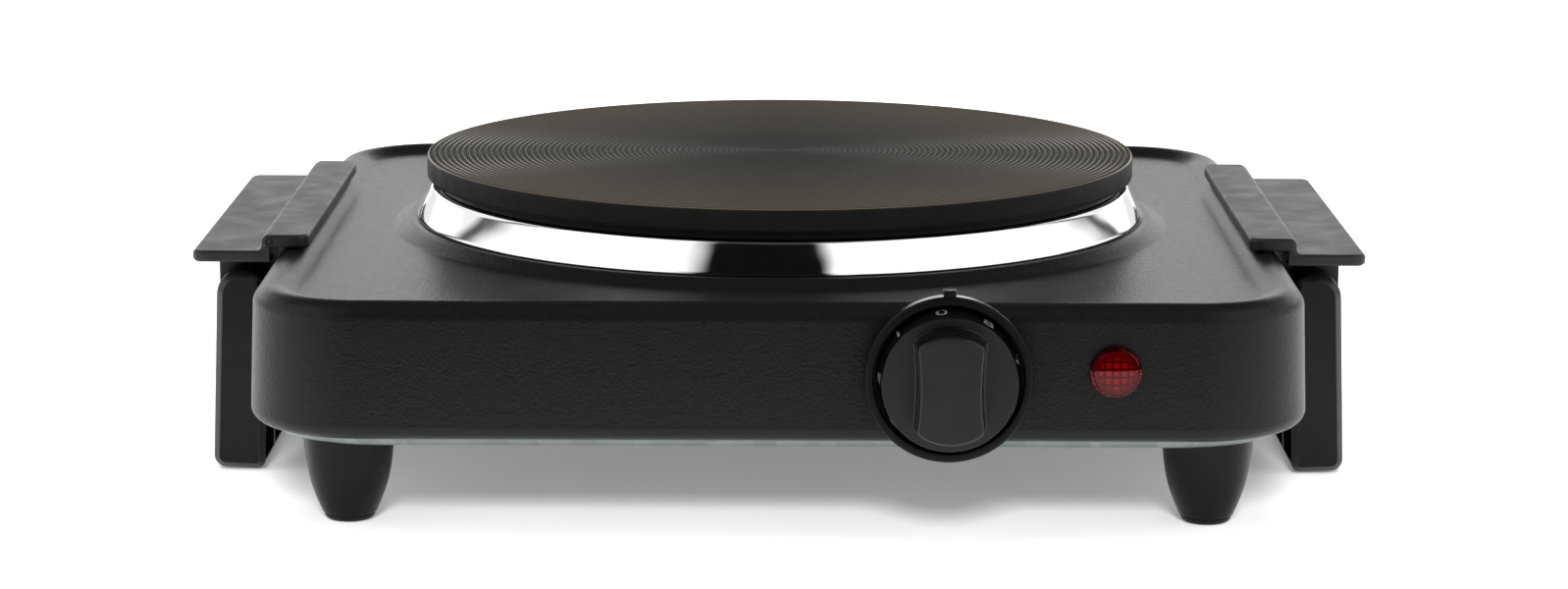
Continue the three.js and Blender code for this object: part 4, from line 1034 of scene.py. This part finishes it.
CUP_TIP = 6.75 * MM
CUP_TOP = 11.1 * MM
CUP_FOOT = 2.4 * MM
CUP_EDGE = 0.5 * MM
CUP_BULGE = 1.4 * MM
CUP_BORE = 3 * MM
PAD_BORE = 4.3 * MM
PAD_CONTACT = 4.6 * MM
PAD_RADIUS = 6.15 * MM
PAD_HEIGHT = 1.7 * MM
PAN_CORNER = 5 * MM  # how much rounder the base's corners are than the housing's
PAN_ROUND = 1.6 * MM
PAN_FILLET = 0.8 * MM
VENT_ROWS = 5
VENT_PITCH = 10 * MM
VENT_X = 24 * MM
VENT_HALF = 12 * MM
VENT_RADIUS = 1.6 * MM
THROUGH = 1 * MM  # how far a cut reaches past what it cuts
NOTCH_MARGIN = 4 * MM  # right of the lens
NOTCH_DEPTH = 14 * MM
GROMMET_BORE = 3.6 * MM
GROMMET_NECK = 6 * MM
GROMMET_FLANGE = 2 * MM
GROMMET_EDGE = 0.6 * MM
GROMMET_ROUND = 1.2 * MM
MOUTH_ROUND = 0.8 * MM


def feet():
    """Four cups on pads."""
    for end in ("front", "back"):
        for side in ("left", "right"):
            name = f"{end}_{side}"
            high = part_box(f"foot_{name}")[1]
            x, y, _ = centre(*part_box(f"foot_screw_{name}"))
            place = at(x, y, 0)
            wall = []
            for k in range(17):
                t = k / 16
                bulge = CUP_BULGE * sin(pi * t) * (1 - t / 2)
                wall.append((CUP_TIP + (CUP_TOP - CUP_TIP) * t + bulge, CUP_FOOT + (high.z - CUP_FOOT) * t))
            profile = [(CUP_BORE, CUP_FOOT - CUP_EDGE)]
            profile += turn(CUP_TIP - CUP_EDGE, CUP_FOOT, CUP_EDGE, -90, -15, 4) + wall + [(CUP_BORE, high.z)]
            cup = revolved(profile, 64)
            piece(f"foot_{name}_cup", cup, "foot_moulding", f"foot_{name}", place=place)
            pad = [(PAD_BORE, 0)]
            for a in (0, 0.35, 0.7, 1.05, 1.3, pi / 2):
                radius = PAD_CONTACT + (PAD_RADIUS - PAD_CONTACT) * sin(a)
                pad.append((radius, PAD_HEIGHT * (1 - cos(a))))
            pad += [(PAD_RADIUS, CUP_FOOT - CUP_EDGE), (PAD_BORE, CUP_FOOT - CUP_EDGE)]
            tip = revolved(pad, 64)
            piece(f"foot_{name}_pad", tip, "rubber", f"foot_pad_{name}", place=place)


def base_pan():
    """The base plate, a tray with two rows of vents and a notch for the controls."""
    low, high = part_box("base_plate")
    inset = HALF_WIDTH - high.x
    floor_z = low.z + SHEET
    levels = [(inset + PAN_ROUND * (1 - sin(a)), low.z + PAN_ROUND * (1 - cos(a))) for a in QUARTER]
    levels += [(inset, high.z), (inset + SHEET, high.z), (inset + SHEET, floor_z + PAN_FILLET)]
    levels += [(inset + SHEET + PAN_FILLET, floor_z)]
    tray = capped([outline(*p, PAN_CORNER) for p in levels])
    obj = piece("base_pan", tray, "galvanised_steel", "base_plate")
    vents = []
    for sign in (-1, 1):
        for row in range(VENT_ROWS):
            y = AXIS_Y + (row - VENT_ROWS // 2) * VENT_PITCH
            x = sign * VENT_X
            reach = VENT_HALF - VENT_RADIUS
            points = turn(x + reach, y, VENT_RADIUS, -90, 90, 8) + turn(x - reach, y, VENT_RADIUS, 90, 270, 8)
            vents.append(upright(points, low.z - THROUGH, floor_z + THROUGH))
    notch_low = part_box("thermostat_plate")[0]
    vents.append(slab(
        notch_low.x - THROUGH, lens_high.x + NOTCH_MARGIN, FRONT, FRONT + NOTCH_DEPTH,
        notch_low.z - THROUGH, high.z + THROUGH,
    ))
    shape_by(obj, "DIFFERENCE", vents)


def rear_fittings():
    """The rubber bush in the rear wall that a cord would leave by."""
    low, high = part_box("cord_grommet")
    outer = (high.x - low.x) / 2
    depth = high.y - low.y
    bore, flange = GROMMET_BORE, GROMMET_FLANGE
    profile = [(bore, 0), (outer - GROMMET_EDGE, 0), (outer, flange)]
    profile += [(GROMMET_NECK, flange), (GROMMET_NECK, depth - flange), (outer, depth - flange)]
    profile += turn(outer - GROMMET_ROUND, depth - GROMMET_ROUND, GROMMET_ROUND, 0, 90, 5)
    profile += turn(bore + MOUTH_ROUND, depth - MOUTH_ROUND, MOUTH_ROUND, 90, 180, 4)
    x, _, z = centre(low, high)
    place = at(x, low.y, z) @ FORWARD
    piece("cord_bush", revolved(profile, 72), "rubber", "cord_grommet", place=place)


BROKEN_EDGE = 0.15 * MM


def small_hardware():
    """The CAD pieces that stay, such as screws, nuts and pins, get slightly broken edges."""
    for obj in frame["nodes"].values():
        if not obj.hide_render:
            modify(obj, "BEVEL", width=BROKEN_EDGE, segments=2, angle_limit=radians(50))


# ---- floor, light and camera

FLOOR_FRONT = -0.36
FLOOR_BACK = 8
FLOOR_HALF = 8
FLOOR_GLOW = 0.20


def floor():
    """A white table that glows a little, and ends about 0.2 m in front of the object."""
    near = [(x, FLOOR_FRONT, 0) for x in (-FLOOR_HALF, FLOOR_HALF)]
    far = [(x, FLOOR_BACK, 0) for x in (FLOOR_HALF, -FLOOR_HALF)]
    obj = placed("floor", mesh_of("floor", near + far, [(0, 1, 2, 3)]))
    white = Finish(
        "floor", Base_Color=(0.9, 0.9, 0.9, 1), Roughness=0.6, Specular_IOR_Level=0,
        Emission_Color=(1, 1, 1, 1), Emission_Strength=FLOOR_GLOW,
    )
    obj.data.materials.append(white.material)
    return obj


# The tent by azimuth, in degrees from the front and positive to the right: its brightness, the height of its
# upper edge and its brightness low down, where heights are sines of elevation.
TENT = [
    (-180, 0.95, 0.40, 3.70),
    (-134, 0.95, 0.70, 3.70),
    (-126, 0.95, 0.90, 0.95),
    (-124.5, 0.08, 0.90, 0.08),
    (-122.5, 0.10, 0.90, 0.10),
    (-119, 0.70, 0.95, 0.70),
    (-114, 1.2, 0.95, 1.20),
    (-84, 1.3, 0.95, 1.30),
    (-36, 1.15, 0.95, 1.15),
    (-25.5, 0.005, 0.95, 0.01),
    (14.5, 0.005, 0.95, 0.01),
    (21, 1.15, 0.95, 1.15),
    (84, 1.3, 0.95, 1.30),
    (120, 1.2, 0.95, 1.20),
    (125, 0.70, 0.95, 0.70),
    (128.5, 0.10, 0.90, 0.10),
    (130.5, 0.08, 0.90, 0.08),
    (132, 0.95, 0.90, 0.95),
    (140, 0.95, 0.70, 3.70),
    (180, 0.95, 0.40, 3.70),
]
TENT_PEAK = 3.8
ROOF_LEVEL = 0.10
PIT_LEVEL = 0.05
FOOT_LEVEL = 0.85
SEAM_SKEW = 50  # degrees that the seams behind the object lean for each unit of height
SEAM_HEIGHT = 0.25
SEAM_SIDE = (72, 92)  # degrees over which the lean sets in
FLARE = 0.62  # share by which the dark opening in front widens for each unit of height
FLARE_HEIGHT = 0.71
FLARE_BAND = (0.45, 0.6)  # heights over which the widening sets in
FLARE_SIDE = (45, 65)  # degrees over which it ends
LOW_BAND = (0.20, 0.30)  # heights at which each brightness gives way to the next one up
FOOT_BAND = (0.08, 0.14)
PIT_BAND = (-0.06, 0)
ROOF_FADE = 0.15


def studio():
    """A white tent round the object, open and dark in front and above."""
    world = bpy.data.worlds.new("studio")
    scene.world = world
    world.use_nodes = True
    tree = world.node_tree
    background = tree.nodes["Background"]
    towards = tree.nodes.new("ShaderNodeTexCoord").outputs["Generated"]
    parts = add_node(tree, "SeparateXYZ", {0: towards})
    height = parts.outputs["Z"]

    def compute(operation, *values):
        return add_node(tree, "Math", dict(enumerate(values)), operation=operation).outputs[0]

    def between(*values):
        """A soft step of a value, with its start and end, and the results before and after it."""
        inputs = dict(enumerate(values))
        return add_node(tree, "MapRange", inputs, interpolation_type="SMOOTHSTEP").outputs[0]

    forward = compute("MULTIPLY", parts.outputs["Y"], -1.0)
    azimuth = compute("ARCTAN2", parts.outputs["X"], forward)
    ramp = tree.nodes.new("ShaderNodeValToRGB")
    stops = ramp.color_ramp.elements
    while len(stops) < len(TENT):
        stops.new(0.5)
    for stop, (bearing, level, top, low) in zip(stops, TENT):
        stop.position = (bearing + 180) / 360
        stop.color = (level / TENT_PEAK, top, low / TENT_PEAK, 1)
    away = compute("ABSOLUTE", azimuth)
    lean = compute("MULTIPLY", compute("SUBTRACT", height, SEAM_HEIGHT), radians(SEAM_SKEW))
    lean = compute("MULTIPLY", lean, between(away, *map(radians, SEAM_SIDE), 0, 1))
    flare = compute("MULTIPLY", compute("SUBTRACT", height, FLARE_HEIGHT), FLARE)
    flare = compute("MULTIPLY", compute("MULTIPLY", flare, away), between(height, *FLARE_BAND, 0, 1))
    flare = compute("MULTIPLY", flare, between(away, *map(radians, FLARE_SIDE), 1, 0))
    straight = compute("SUBTRACT", compute("ADD", away, lean), flare)
    leaning = compute("MULTIPLY", straight, compute("SIGN", azimuth))
    tree.links.new(compute("MULTIPLY_ADD", leaning, 0.5 / pi, 0.5), ramp.inputs[0])
    channels = add_node(tree, "SeparateColor", {0: ramp.outputs[0]})
    level = compute("MULTIPLY", channels.outputs[0], TENT_PEAK)
    top = channels.outputs[1]
    low = compute("MULTIPLY", channels.outputs[2], TENT_PEAK)
    walls = between(height, *LOW_BAND, low, level)
    walls = between(height, *FOOT_BAND, compute("MINIMUM", level, FOOT_LEVEL), walls)
    walls = between(height, *PIT_BAND, PIT_LEVEL, walls)
    lit = between(height, compute("SUBTRACT", top, ROOF_FADE), top, walls, ROOF_LEVEL)
    seen = tree.nodes.new("ShaderNodeLightPath").outputs["Is Camera Ray"]
    tree.links.new(compute("MAXIMUM", lit, seen), background.inputs["Strength"])
    background.inputs["Color"].default_value = (1, 1, 1, 1)


def sky_panel(name, towards, width, strength, only=None):
    """A far softbox this many degrees wide, seen from the object in the direction given."""
    obj = placed(name, assign(bpy.data.lights.new(name, "SUN"), angle=radians(width), energy=strength))
    obj.rotation_euler = Vector(towards).to_track_quat("Z", "Y").to_euler()
    if only:
        group = bpy.data.collections.new(f"{name}_lights")
        group.objects.link(only)
        obj.light_linking.receiver_collection = group
    return obj


CAMERA_ANGLES = (0.1918, -0.0008, 0.0036)  # down, to the right and tilted, in radians
CAMERA_X = 2.06 * MM
CAMERA_AWAY = 1059.6 * MM  # in front of the plate's axis
CAMERA_HEIGHT = 240.45 * MM
CAMERA_LENS = 93.49
CAMERA_SENSOR = 36


def camera():
    """A long lens straight in front, looking 11 degrees down."""
    pitch, yaw, roll = CAMERA_ANGLES
    forward = Vector((sin(yaw) * cos(pitch), cos(yaw) * cos(pitch), -sin(pitch)))
    level = Vector((cos(yaw), -sin(yaw), 0))
    upward = level.cross(forward)
    right = level * cos(roll) + upward * sin(roll)
    up = upward * cos(roll) - level * sin(roll)
    data = bpy.data.cameras.new("camera")
    obj = placed("camera", assign(data, lens=CAMERA_LENS, sensor_width=CAMERA_SENSOR, clip_start=0.05))
    turned = Matrix((right, up, -forward)).transposed().to_4x4()
    obj.matrix_world = at(CAMERA_X, AXIS_Y - CAMERA_AWAY, CAMERA_HEIGHT) @ turned
    scene.camera = obj


# ---- the scene

camera()
studio()
table = floor()
sky_panel("overhead", (-0.08, 0.12, 1.0), 50, 2.2).visible_glossy = False
sky_panel("front_fill", (0, -0.84, 0.55), 15, 2.9, only=table)
scene.view_settings.view_transform = "Standard"

dress_frame()
housing()
cooking_plate()
trim_ring()
bezel()
knob()
pilot_lamp()
for side, sign in (("left", -1), ("right", 1)):
    bracket(side, sign)
    handle(side, sign)
feet()
base_pan()
rear_fittings()
small_hardware()
